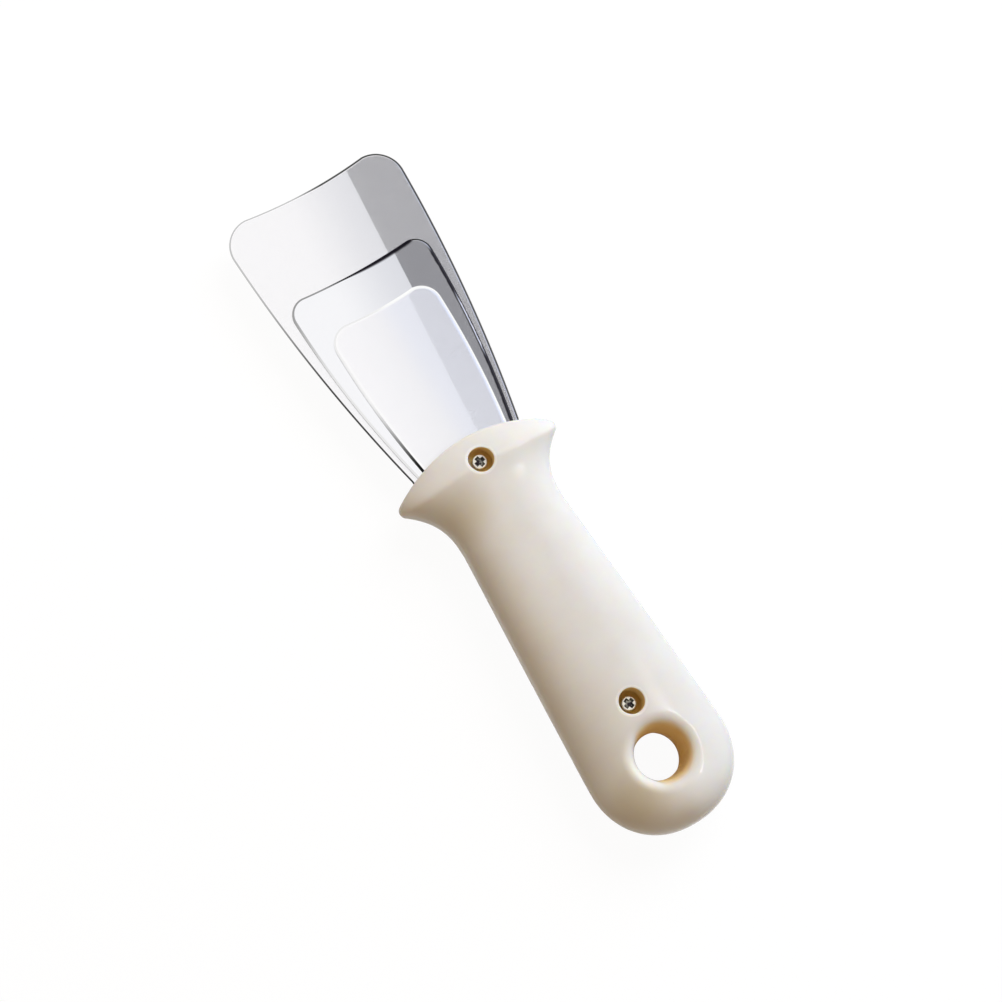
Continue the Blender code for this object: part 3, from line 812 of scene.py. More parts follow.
def posts_and_ribs():
    """What stands inside a shell: a tube round the hang hole, screw bosses, a post, a spine and ribs."""
    tree, (hole_y, tube, butt_y, blade_y, boss, pin_y, pin_post, pitch, thickness, end_y, half,
           parting) = new_tree("posts_and_ribs", INSIDE_SIZES)
    standing = []
    for y, radius in ((hole_y, tube), (butt_y, boss), (blade_y, boss), (pin_y, pin_post)):
        post = output(tree, "GeometryNodeMeshCylinder", {"Vertices": POST_SIDES, "Radius": radius,
                                                         "Depth": POST_HEIGHT})
        standing.append(moved(tree, post, translation=place(tree, 0.0, y, parting)))
    spine = output(tree, "GeometryNodeMeshCube", {
        "Size": place(tree, thickness, pin_y - butt_y, POST_HEIGHT)})
    standing.append(moved(tree, spine, translation=place(tree, 0.0, (pin_y + butt_y) * 0.5, parting)))
    line = output(tree, "GeometryNodeMeshLine", {
        "Count": ((end_y - butt_y) / pitch).rounded_down(), "Offset": place(tree, 0.0, pitch),
        "Start Location": place(tree, 0.0, butt_y + pitch, parting)})
    rib = output(tree, "GeometryNodeMeshCube", {"Size": place(tree, half * 2, thickness, POST_HEIGHT)})
    standing.append(output(tree, "GeometryNodeInstanceOnPoints", {"Points": line, "Instance": rib}))
    return end_tree(tree, joined(tree, standing))


def carve(obj, steps, crossing=False):
    """Cuts solids out of an object, or joins them to it, one after the other. A solid may cross itself."""
    for operation, tool in steps:
        modifier = obj.modifiers.new("carve", "BOOLEAN")
        modifier.operation = operation
        modifier.solver = "EXACT"
        modifier.use_self = crossing
        modifier.object = tool
    settle(obj)
    for _, tool in steps:
        bpy.data.objects.remove(tool, do_unlink=True)


def box_solid(name, half_width, y, z):
    """A box across the handle, between two places along it and two heights."""
    points = [(x, py, pz) for pz in z for py in y for x in (-half_width, half_width)]
    faces = [(0, 2, 3, 1), (4, 5, 7, 6), (0, 1, 5, 4), (2, 6, 7, 3), (0, 4, 6, 2), (1, 3, 7, 5)]
    return shell_solid(name, points, faces)


def round_solid(name, radius, y, low, high):
    """A round bar through a place on the centre line, between two heights."""
    sides = BORE_SIDES
    points = [(x, py, z) for z in (low, high) for x, py in ring(radius, y, sides)]
    faces = [tuple(range(sides)), tuple(range(sides, 2 * sides))]
    faces += [(i, (i + 1) % sides, sides + (i + 1) % sides, sides + i) for i in range(sides)]
    return shell_solid(name, points, faces)


def hollow_out(shell, side, standing, blade_y, butt_y):
    """Takes the hollow and the blades' pocket out of a shell. The rear one gets screw pilots and a pin."""
    name = shell.name
    pin_y = blade_y - PIN_SETBACK
    posts = grown(f"{name}_posts", standing, {
        "Hole Y": HANG_HOLE_Y + BUTT_END, "Hole Tube": HANG_HOLE_NECK + WALL,
        "Butt Screw Y": butt_y + BUTT_END, "Blade Screw Y": blade_y + BUTT_END,
        "Boss": BOSS_RADIUS if side == FRONT else PILOT_BOSS_RADIUS, "Pin Y": pin_y + BUTT_END,
        "Pin Post": PIN_RADIUS + WALL, "Rib Pitch": RIB_PITCH, "Rib Thickness": RIB_THICKNESS,
        "Rib End Y": blade_y - TANG_TAIL + BUTT_END, "Rib Half Width": BUTT_HALF_WIDTH,
        "Parting Z": PARTING}, None)
    hollow = hollow_body(f"{name}_hollow", side)
    carve(hollow, [("DIFFERENCE", posts)], crossing=True)
    pocket = sorted((-side * HOLLOW_OVERLAP, side * POCKET_DEPTH))
    clearance = COUNTERBORE_CLEARANCE
    shoulder = blade_y - SHOULDER_SETBACK - SHOULDER_SLOPE - clearance
    tangs = box_solid(f"{name}_tangs", TANG_HALF_WIDTH + clearance,
                      (blade_y - TANG_TAIL - clearance, blade_y), pocket)
    mouth = box_solid(f"{name}_mouth", BLADES["large"]["Mouth Half Width"] + clearance,
                      (shoulder, HANDLE_LENGTH + WALL), pocket)
    steps = [("DIFFERENCE", hollow), ("DIFFERENCE", tangs), ("DIFFERENCE", mouth)]
    if side == REAR:
        for y, screw in ((blade_y, "blade_screw"), (butt_y, "butt_screw")):
            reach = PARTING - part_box(screw)[0].z
            pilot = round_solid(f"{screw}_pilot", PILOT_RADIUS, y, -reach - clearance, HOLLOW_OVERLAP)
            steps.append(("DIFFERENCE", pilot))
        pin = round_solid("locating_pin", PIN_RADIUS, pin_y, -POCKET_DEPTH - WALL, STACK_HALF)
        steps.append(("UNION", pin))
    carve(shell, steps)


# Node trees

class Number:
    """A number inside a node tree, so that a size can follow from other sizes by a formula."""

    def __init__(self, tree, value):
        self.tree = tree
        self.value = value

    def worked(self, operation, *values):
        made = output(self.tree, "ShaderNodeMath", dict(enumerate(values)), operation=operation)
        return Number(self.tree, made)

    def ranged(self, low, high, **settings):
        made = output(self.tree, "ShaderNodeMapRange", {0: self, 1: low, 2: high}, **settings)
        return Number(self.tree, made)

    def __add__(self, other):
        return self.worked("ADD", self, other)

    def __sub__(self, other):
        return self.worked("SUBTRACT", self, other)

    def __rsub__(self, other):
        return self.worked("SUBTRACT", other, self)

    def __neg__(self):
        return self.worked("MULTIPLY", self, -1)

    def __mul__(self, other):
        return self.worked("MULTIPLY", self, other)

    def __truediv__(self, other):
        return self.worked("DIVIDE", self, other)

    def __rtruediv__(self, other):
        return self.worked("DIVIDE", other, self)

    def __pow__(self, other):
        return self.worked("POWER", self, other)

    def below(self, other):
        return self.worked("LESS_THAN", self, other)

    def rounded_down(self):
        return self.worked("FLOOR", self)

    def clamped(self, low, high):
        """From 0 at the low number to 1 at the high one."""
        return self.ranged(low, high)

    def ramp(self, low, high):
        """A soft step: 0 at the low value, 1 at the high one."""
        return self.ranged(low, high, interpolation_type="SMOOTHSTEP")

    __radd__ = __add__
    __rmul__ = __mul__


def set_inputs(tree, made, inputs):
    """Sets a node's inputs as values, as numbers of the tree or as other nodes' outputs."""
    for name, value in inputs.items():
        socket = made.inputs[name]
        if isinstance(value, Number):
            value = value.value
        if isinstance(value, bpy.types.NodeSocket):
            tree.links.new(value, socket)
        elif socket.type == "RGBA":
            socket.default_value = (*value, 1)
        else:
            socket.default_value = value


def node(tree, kind, inputs=None, **settings):
    made = tree.nodes.new(kind)
    for name, value in settings.items():
        setattr(made, name, value)
    set_inputs(tree, made, inputs or {})
    return made


def output(tree, kind, inputs=None, **settings):
    """The first output of a new node."""
    return node(tree, kind, inputs, **settings).outputs[0]


def mix(tree, share, first, second):
    """A colour between two colours."""
    return node(tree, "ShaderNodeMix", {0: share, 6: first, 7: second}, data_type="RGBA").outputs[2]


def split(tree, spot):
    return [Number(tree, part) for part in node(tree, "ShaderNodeSeparateXYZ", {0: spot}).outputs]


# Camera, floor and light

def camera():
    data = bpy.data.cameras.new("camera")
    data.lens = CAMERA_LENS
    data.sensor_width = CAMERA_SENSOR
    data.clip_end = CAMERA_REACH
    obj = linked("camera", data)
    obj.location = CAMERA_PLACE
    obj.rotation_euler = [math.radians(angle) for angle in CAMERA_TURN]
    bpy.context.scene.camera = obj


def seen_directly(tree):
    """1 for what the camera, a mirror or clear glass sees, 0 for soft bounced light."""
    path = node(tree, "ShaderNodeLightPath").outputs
    either = output(tree, "ShaderNodeMath", {0: path["Is Camera Ray"], 1: path["Is Glossy Ray"]},
                    operation="MAXIMUM")
    return output(tree, "ShaderNodeMath", {0: either, 1: path["Is Transmission Ray"]}, operation="MAXIMUM")


def white_studio():
    """A world that shows white, and gives a weak warm light from all round."""
    world = bpy.data.worlds.new("studio")
    bpy.context.scene.world = world
    world.use_nodes = True
    tree = world.node_tree
    tree.nodes.clear()
    shade = mix(tree, seen_directly(tree), AMBIENT, WHITE)
    background = output(tree, "ShaderNodeBackground", {"Color": shade, "Strength": 1.0})
    node(tree, "ShaderNodeOutputWorld", {"Surface": background})


def rectangle(middle, half_x, half_y):
    x, y, z = middle
    return [(x - half_x, y - half_y, z), (x + half_x, y - half_y, z), (x + half_x, y + half_y, z),
            (x - half_x, y + half_y, z)]


def flat_card(name, corners, material_name):
    """A flat piece of the studio, with the empty tree of its material."""
    card = linked(name, mesh_of(name, corners, [(0, 1, 2, 3)]))
    material = bpy.data.materials.new(material_name)
    material.use_nodes = True
    material.node_tree.nodes.clear()
    card.data.materials.append(material)
    return card, material.node_tree


def pale_floor():
    floor, tree = flat_card("floor", rectangle((0, 0, 0), FLOOR_HALF, FLOOR_HALF), "pale_floor")
    unseen = output(tree, "ShaderNodeBsdfDiffuse", {"Color": FLOOR_TINT})
    shadow = output(tree, "ShaderNodeBsdfDiffuse", {"Color": FLOOR_SHADOW})
    glow = output(tree, "ShaderNodeEmission", {"Color": WHITE, "Strength": FLOOR_GLOW})
    shown = output(tree, "ShaderNodeAddShader", {0: glow, 1: shadow})
    both = output(tree, "ShaderNodeMixShader", {0: seen_directly(tree), 1: unseen, 2: shown})
    node(tree, "ShaderNodeOutputMaterial", {"Surface": both})


def studio_light():
    """A large soft light from the right, and a cooler one lower down."""
    aim = Vector(LAMP_AIM)
    for name, towards, power, colour in LAMPS:
        data = bpy.data.lights.new(name, "AREA")
        data.shape = "RECTANGLE"
        data.size = data.size_y = LAMP_SIZE
        data.energy = power
        data.color = colour
        lamp = linked(name, data)
        spot = aim + Vector(towards).normalized() * LAMP_DISTANCE
        lamp.location = spot
        lamp.rotation_euler = (aim - spot).to_track_quat("-Z", "Y").to_euler()
        lamp.visible_glossy = False


def glow_card(name, corners, paint):
    """A card that only mirrors see."""
    card, tree = flat_card(name, corners, name)
    glow = output(tree, "ShaderNodeEmission", {"Color": paint(tree), "Strength": 1.0})
    node(tree, "ShaderNodeOutputMaterial", {"Surface": glow})
    for ray in ("camera", "diffuse", "transmission", "volume_scatter", "shadow"):
        setattr(card, f"visible_{ray}", False)


def mirror_cards():
    """What the blades mirror: a white sheet that shades off towards a grey card's edge, and a cool sheet.

    Two small warm cards give the ivory plastic its gleams.
    """
    near_x, far_x = CARD_EDGES[1]
    lean = (far_x - near_x) / (CARD_FAR_Y - CARD_NEAR_Y)

    def shaded_white(tree):
        x, y, _ = split(tree, node(tree, "ShaderNodeTexCoord").outputs["Object"])
        past = x - near_x - (y - CARD_NEAR_Y) * lean
        return mix(tree, past.ramp(-SHEET_SHADE_REACH, 0.0), WHITE, SHEET_WHITE)

    paints = {"white_sheet": shaded_white, "grey_card": lambda tree: CARD_GREY,
              "cool_sheet": lambda tree: SHEET_COOL}
    for (name, paint), left, right in zip(paints.items(), CARD_EDGES, CARD_EDGES[1:]):
        glow_card(name, [(left[0], CARD_NEAR_Y, CARD_HEIGHT), (right[0], CARD_NEAR_Y, CARD_HEIGHT),
                         (right[1], CARD_FAR_Y, CARD_HEIGHT), (left[1], CARD_FAR_Y, CARD_HEIGHT)], paint)
    for name, middle, half_x, half_y, power in GLOSS_CARDS:
        colour = tuple(part * power for part in GLOSS_COLOUR)
        glow_card(name, rectangle(middle, half_x, half_y), lambda tree, colour=colour: colour)


# Geometry trees that grow the blades and the screws

def new_tree(name, size_names):
    """A geometry tree with its sizes as named inputs."""
    tree = bpy.data.node_groups.new(name, "GeometryNodeTree")
    for size in size_names:
        tree.interface.new_socket(size, in_out="INPUT", socket_type="NodeSocketFloat")
    tree.interface.new_socket("Material", in_out="INPUT", socket_type="NodeSocketMaterial")
    tree.interface.new_socket("Geometry", in_out="OUTPUT", socket_type="NodeSocketGeometry")
    entry = tree.nodes.new("NodeGroupInput")
    return tree, [Number(tree, entry.outputs[size]) for size in size_names]


def end_tree(tree, geometry):
    material = tree.nodes.new("NodeGroupInput").outputs["Material"]
    real = output(tree, "GeometryNodeRealizeInstances", {"Geometry": geometry})
    painted = output(tree, "GeometryNodeSetMaterial", {"Geometry": real, "Material": material})
    node(tree, "NodeGroupOutput", {0: painted})
    return tree


def grown(name, tree, sizes, material):
    """The plain mesh that a tree grows with these sizes."""
    obj = linked(name, bpy.data.meshes.new(name))
    modifier = obj.modifiers.new("shape", "NODES")
    modifier.node_group = tree
    for item in tree.interface.items_tree:
        if item.in_out == "INPUT":
            modifier[item.identifier] = material if item.name == "Material" else sizes[item.name]
    settle(obj)
    cleaned(obj.data, double=VERY_CLOSE)
    return obj


def place(tree, x, y, z=0.0):
    return output(tree, "ShaderNodeCombineXYZ", {0: x, 1: y, 2: z})


def joined(tree, pieces):
    join = tree.nodes.new("GeometryNodeJoinGeometry")
    for piece in pieces:
        tree.links.new(piece, join.inputs[0])
    return join.outputs[0]


def merged(tree, geometry, distance=CLOSE):
    return output(tree, "GeometryNodeMergeByDistance", {"Geometry": geometry, "Distance": distance})


def straight_runs(tree, corners):
    """Straight curves from corner to corner."""
    return [output(tree, "GeometryNodeCurvePrimitiveLine", {"Start": place(tree, *start),
                                                            "End": place(tree, *end)})
            for start, end in zip(corners, corners[1:])]


def bend(tree, start, start_handle, end_handle, end, steps):
    return output(tree, "GeometryNodeCurvePrimitiveBezierSegment", {
        "Resolution": steps, "Start": place(tree, *start), "Start Handle": place(tree, *start_handle),
        "End Handle": place(tree, *end_handle), "End": place(tree, *end)})


def bowed_run(tree, start, pull, end, steps):
    """A parabola from start to end, drawn towards a point."""
    handles = [((near[0] + 2 * pull[0]) / 3, (near[1] + 2 * pull[1]) / 3) for near in (start, end)]
    return bend(tree, start, *handles, end, steps)


def circle(tree, steps, radius):
    return output(tree, "GeometryNodeCurvePrimitiveCircle", {"Resolution": steps, "Radius": radius})


def swept(tree, path, profile):
    return output(tree, "GeometryNodeCurveToMesh", {"Curve": path, "Profile Curve": profile})


def moved(tree, geometry, **change):
    change = {name.title(): value for name, value in change.items()}
    return output(tree, "GeometryNodeTransform", {"Geometry": geometry, **change})


def lifted(tree, geometry, height):
    return moved(tree, geometry, translation=place(tree, 0.0, 0.0, height))


def shaded(tree, mesh, is_smooth):
    return output(tree, "GeometryNodeSetShadeSmooth", {"Geometry": mesh, "Shade Smooth": is_smooth})


def graded_blade():
    """A flat blade with a rolled rim, a tang, a screw hole and a pin hole."""
    tree, (tip, mouth, half, mouth_half, corner, hollow, bow, thickness, top, rim, drop, tang_half,
           tang_end, shoulder, slope, screw_y, screw_hole, pin_y, pin_hole) = new_tree(
               "graded_blade", BLADE_SIZES)
    tang_corner = tang_half / 4
    corners = [(0.0, tang_end), (tang_half - tang_corner, tang_end), (tang_half, tang_end + tang_corner),
               (tang_half, shoulder - slope), (mouth_half, shoulder), (mouth_half, mouth)]
    corner_foot = tip - corner
    tip_half = half - corner
    side_pull = ((mouth_half + half) / 2 + bow * 2, (mouth + corner_foot) / 2)
    hollow_tip = tip - hollow
    short = corner * (1 - ROUND_HANDLE)
    right = joined(tree, straight_runs(tree, corners) + [
        bowed_run(tree, (mouth_half, mouth), side_pull, (half, corner_foot), BLADE_SIDE_STEPS),
        bend(tree, (half, corner_foot), (half, tip - short), (half - short, tip), (tip_half, tip),
             BLADE_CORNER_STEPS),
        bowed_run(tree, (tip_half, tip), (tip_half / 2, hollow_tip), (0.0, hollow_tip), BLADE_TIP_STEPS)])
    outline = joined(tree, [right, moved(tree, right, scale=(-1, 1, 1))])
    outline = merged(tree, output(tree, "GeometryNodeCurveToMesh", {"Curve": outline}), CLOSE * 2)
    outline = output(tree, "GeometryNodeMeshToCurve", {"Mesh": outline})
    outline = output(tree, "GeometryNodeReverseCurve", {"Curve": outline})

    rim_profile = joined(tree, [bend(tree, (-rim, 0.0), (rim * (ROUND_HANDLE - 1), 0.0),
                                     (0.0, drop * (1 - ROUND_HANDLE)), (0.0, drop), RIM_STEPS)]
                         + straight_runs(tree, [(0.0, drop), (0.0, thickness - BLADE_BURR),
                                                (-BLADE_BURR, thickness)]))
    bore_profile = straight_runs(tree, [(0.0, 0.0), (0.0, thickness)])[0]
    walls = [shaded(tree, swept(tree, outline, rim_profile), True)]
    for y, radius in ((screw_y, screw_hole), (pin_y, pin_hole)):
        bore = moved(tree, circle(tree, BORE_SIDES, radius), translation=place(tree, 0.0, y))
        walls.append(shaded(tree, swept(tree, bore, bore_profile), True))
    walls = merged(tree, joined(tree, walls))

    neighbours = output(tree, "GeometryNodeInputMeshEdgeNeighbors")
    open_edge = output(tree, "FunctionNodeCompare", {2: neighbours, 3: 1}, data_type="INT",
                       operation="EQUAL")
    _, _, height = split(tree, output(tree, "GeometryNodeInputPosition"))
    faces = []
    for operation, level in (("GREATER_THAN", 0.0), ("LESS_THAN", -thickness)):
        this_side = output(tree, "FunctionNodeCompare", {0: height, 1: thickness * -0.5},
                           data_type="FLOAT", operation=operation)
        chosen = output(tree, "FunctionNodeBooleanMath", {0: open_edge, 1: this_side}, operation="AND")
        loops = output(tree, "GeometryNodeMeshToCurve", {"Mesh": walls, "Selection": chosen})
        face = output(tree, "GeometryNodeFillCurve", {"Curve": loops}, mode="TRIANGLES")
        faces.append(lifted(tree, shaded(tree, face, False), level))
    blade = merged(tree, joined(tree, [walls] + faces))
    return end_tree(tree, lifted(tree, blade, top))


def turned(tree, profile, steps):
    """A profile turned round the Z axis. In the XY plane, its radius lies on X and its depth on Y."""
    profile = moved(tree, joined(tree, profile), translation=(-TURNING_OFFSET, 0, 0))
    return merged(tree, swept(tree, circle(tree, steps, TURNING_OFFSET), profile))


def boolean(tree, operation, meshes):
    """One body from meshes that may cross themselves, by the exact solver."""
    return output(tree, "GeometryNodeMeshBoolean", {**meshes, "Self Intersection": True},
                  operation=operation, solver="EXACT")


def cone(tree, sides, top, foot, depth):
    return output(tree, "GeometryNodeMeshCone", {"Vertices": sides, "Radius Top": top,
                                                 "Radius Bottom": foot, "Depth": depth})


def pan_screw():
    """A self-tapping screw with a domed pan head, a cross recess and a spiral thread."""
    tree, (y, seat, head, height, shank, length, point, pitch, depth, span, width, recess,
           turn) = new_tree("pan_screw", SCREW_SIZES)
    root = shank - depth
    crown = -height
    flat = (head * 0.80, crown * 0.985)
    flank = (head, crown * 0.62)
    profile = [bend(tree, (0.0, crown), (head * 0.30, crown), (head * 0.55, crown), flat, CROWN_STEPS),
               bend(tree, flat, (head * 0.94, crown * 0.97), (head, crown * 0.90), flank, FLANK_STEPS)]
    profile += straight_runs(tree, [flank, (head * 0.985, crown * 0.06), (head * 0.95, 0.0), (root, 0.0),
                                    (root, length - point), (0.0, length)])
    body = turned(tree, profile, SCREW_SIDES)

    thread_length = length - point * 0.5 - pitch
    spiral = output(tree, "GeometryNodeCurveSpiral", {
        "Resolution": THREAD_STEPS, "Rotations": thread_length / pitch, "Start Radius": root,
        "End Radius": root - depth * 0.6, "Height": -thread_length})
    thread = output(tree, "GeometryNodeCurveToMesh", {
        "Curve": lifted(tree, spiral, -pitch), "Profile Curve": circle(tree, THREAD_SIDES, depth),
        "Fill Caps": True})
    body = boolean(tree, "UNION", {"Mesh 2": joined(tree, [body, thread])})

    cross = []
    for angle in (0.0, math.pi / 2):
        arm = cone(tree, 4, span * 0.96, span * 0.45, recess * 2)
        arm = moved(tree, arm, rotation=(0, 0, math.pi / 4),
                    translation=place(tree, 0.0, 0.0, height - recess))
        cross.append(moved(tree, arm, scale=place(tree, 1.0, width / span, 1.0), rotation=(0, 0, angle)))
    pocket = cone(tree, POCKET_SIDES, width * 0.86, width * 0.35, recess * 2)
    cross.append(lifted(tree, pocket, height - recess * 1.1))
    cross = moved(tree, joined(tree, cross), rotation=place(tree, 0.0, 0.0, turn))
    cut = boolean(tree, "DIFFERENCE", {"Mesh 1": body, "Mesh 2": cross})

    x, across, z = split(tree, output(tree, "GeometryNodeInputPosition"))
    in_cross = ((x * x + across * across) ** 0.5).below(span * 0.62)
    sunk = ((height - z) / recess).clamped(0.08, 0.25)
    # Painted shade: faces sunk in the cross recess are marked for darkening
    painted_recess_shade = sunk * in_cross * Number(tree, 0.0).below(z)
    screw = output(tree, "GeometryNodeStoreNamedAttribute", {"Geometry": cut, "Name": "recess",
                                                             "Value": painted_recess_shade}, domain="FACE")
    return end_tree(tree, moved(tree, screw, translation=place(tree, 0.0, y, seat)))


# Shared effects, as shader groups that put out values

def new_effect(name, sizes, outputs=("Mask",)):
    """A shader group for a spot on a piece, with named sizes at their usual values, and named outputs."""
    group = bpy.data.node_groups.new(name, "ShaderNodeTree")
    group.interface.new_socket("Coordinates", in_out="INPUT", socket_type="NodeSocketVector")
    for title, value in sizes.items():
        size = group.interface.new_socket(title, in_out="INPUT", socket_type="NodeSocketFloat")
        size.default_value = value
    for title in outputs:
        group.interface.new_socket(title, in_out="OUTPUT", socket_type="NodeSocketFloat")
    entry = group.nodes.new("NodeGroupInput").outputs
    return group, entry["Coordinates"], [Number(group, entry[title]) for title in sizes]


def end_effect(group, *values):
    node(group, "NodeGroupOutput", dict(enumerate(values)))
    return group


def effect(tree, group, spot, **sizes):
    """What a shader group puts out at a spot, with its sizes given by their titles in lower case."""
    titled = {name.replace("_", " ").title(): value for name, value in sizes.items()}
    made = node(tree, "ShaderNodeGroup", {"Coordinates": spot, **titled}, node_tree=group)
    values = [Number(tree, value) for value in made.outputs]
    return values if len(values) > 1 else values[0]


def stretched(tree, spot, scale):
    return output(tree, "ShaderNodeMapping", {"Vector": spot, "Scale": scale})


def noise(tree, spot, scale, detail=2.0, rough=0.5):
    return Number(tree, output(tree, "ShaderNodeTexNoise", {"Vector": spot, "Scale": scale,
                                                            "Detail": detail, "Roughness": rough}))


def bore_mask():
    """1 inside a round hole that stands on the parting plane, fading out round its rim."""
    group, spot, (centre, radius, fade) = new_effect(
        "bore_mask", {"Centre Y": 0.0, "Radius": 0.004, "Fade": 0.001})
    x, y, _ = split(group, spot)
    off = y - centre
    distance = (x * x + off * off) ** 0.5
    return end_effect(group, distance.ramp(radius + fade, radius))


def moulding_grain():
    """The fine tooth and the slow mottle of a moulded surface."""
    group, spot, (grain, mottle) = new_effect(
        "moulding_grain", {"Grain Size": 0.0005, "Mottle Size": 0.010}, ("Height", "Mottle"))
    return end_effect(group, noise(group, spot, 1.0 / grain, 3.0, 0.6),
                      noise(group, spot, 1.0 / mottle, 2.0, 0.5))


def handling_marks():
    """Fine scuffs in all directions, more of them where the tool is held."""
    group, spot, (size, amount) = new_effect("handling_marks", {"Size": 0.002, "Amount": 0.5})
    mask = 0.0
    for turn in (0.5, 1.9):
        turned_spot = output(group, "ShaderNodeVectorRotate", {"Vector": spot, "Angle": turn},
                             rotation_type="Z_AXIS")
        lines = noise(group, stretched(group, turned_spot, (1.0, 0.06, 0.2)), 4.0 / size, 2.0, 0.6)
        mask = mask + lines.ramp(0.66, 0.74)
    patches = noise(group, spot, 0.25 / size, 2.0, 0.5)
    return end_effect(group, mask * patches.ramp(0.42, 0.62) * amount)


def painted_shade_spot():
    """A soft spot of painted shade, darker and yellower, round a place on the handle."""
    group, spot, (centre_x, centre_y, reach) = new_effect(
        "painted_shade_spot", {"Centre X": 0.0, "Centre Y": 0.0, "Reach": 0.01})
    x, y, _ = split(group, spot)
    across = x - centre_x
    along = y - centre_y
    distance = (across * across + along * along) ** 0.5 / reach
    wander = noise(group, spot, 90.0)
    return end_effect(group, (distance + (wander - 0.5) * 0.3).ramp(1.0, 0.1))


def polishing_streaks():
    """Fine lines along the blade. Share is how much of the steel they leave matt instead of bright."""
    group, spot, (width, share) = new_effect("polishing_streaks", {"Streak Width": 0.00002, "Share": 0.2})
    lines = noise(group, stretched(group, spot, (1.0, 0.05, 1.0)), 1.0 / width, 1.0, 0.5)
    level = 0.68 - share * 0.36
    return end_effect(group, lines.ramp(level - 0.05, level + 0.05))


def rolled_edge():
    """Where the rolled edge of a blade shows on its left and right side, and the painted tone of the edge
    there.

    Each side shows below its own share of the drop. The tone is painted shade and painted reflection, set by
    side, and turns from the mouth's to the tip's.
    """
    group, spot, (top, drop, mouth, tip, turn, left_start, right_start, left_tip, left_mouth, right_tip,
                  right_mouth) = new_effect(
        "rolled_edge", {"Top": 0.0, "Drop": 0.0004, "Mouth Y": 0.0, "Tip Y": 0.1, "Turn": 0.5,
                        "Left Start": 0.0, "Right Start": 0.0, "Left Tip": 0.5, "Left Mouth": 0.5,
                        "Right Tip": 0.5, "Right Mouth": 0.5}, ("Mask", "Tone"))
    x, y, z = split(group, spot)
    down = ((y - mouth) / (tip - mouth)).ramp(turn - 0.25, turn + 0.25)
    side = x.ramp(*EDGE_TURN)
    start = between(left_start, right_start, side)
    painted_edge_tone = between(between(left_mouth, right_mouth, side), between(left_tip, right_tip, side), down)
    return end_effect(group, ((top - z) / drop).ramp(start, start + 0.05), painted_edge_tone)


def painted_tip_shade_band():
    """A band of painted shade along the hollow tip of a blade, from a start through its full width to an
    end.
    """
    group, spot, (tip, hollow, half, band, start, full, end) = new_effect(
        "painted_tip_shade_band", {"Tip Y": 0.1, "Hollow": 0.001, "Half Width": 0.01, "Band Width": 0.001,
                      "Start X": -0.01, "Full X": 0.005, "End X": 0.015})
    x, y, _ = split(group, spot)
    share = x / half
    depth = tip - hollow * (1.0 - share * share) - y
    width = band * x.ramp(start, full) * x.ramp(end, end - 0.006)
    return end_effect(group, (depth / (width + 0.00001)).ramp(1.20, 0.60))


def painted_side_lines():
    """A dark line of painted shade inside a blade's right side, and a painted glint that splits it part of
    the way.
    """
    group, spot, (mouth, foot, mouth_half, half, bow, width) = new_effect(
        "painted_side_lines", {"Mouth Y": 0.0, "Corner Y": 0.1, "Mouth Half Width": 0.01, "Half Width": 0.02,
                        "Side Bow": 0.001, "Line Width": 0.001}, ("Line", "Glint"))
    x, y, _ = split(group, spot)
    along = ((y - mouth) / (foot - mouth)).clamped(0.0, 1.0)
    side = between(mouth_half, half, along) + along * (1.0 - along) * bow * 4
    wander = noise(group, spot, 500.0)
    share = (side - x) / width + (wander - 0.5) * 0.35
    line = share.ramp(1.10, 0.75) * y.ramp(foot + 0.0015, foot - 0.0015)
    glint = share.ramp(0.30, 0.42) * share.ramp(0.78, 0.62)
    return end_effect(group, line, glint * along.ramp(0.36, 0.46) * along.ramp(0.76, 0.66))


# Materials

def new_material(name):
    """A material with its node tree, its shader and the piece's own coordinates."""
    material = bpy.data.materials.new(name)
    material.use_nodes = True
    tree = material.node_tree
    spot = node(tree, "ShaderNodeTexCoord").outputs["Object"]
    return material, tree, tree.nodes["Principled BSDF"], spot


def bumped(tree, height, distance):
    return output(tree, "ShaderNodeBump", {"Height": height, "Distance": distance, "Strength": 1.0})


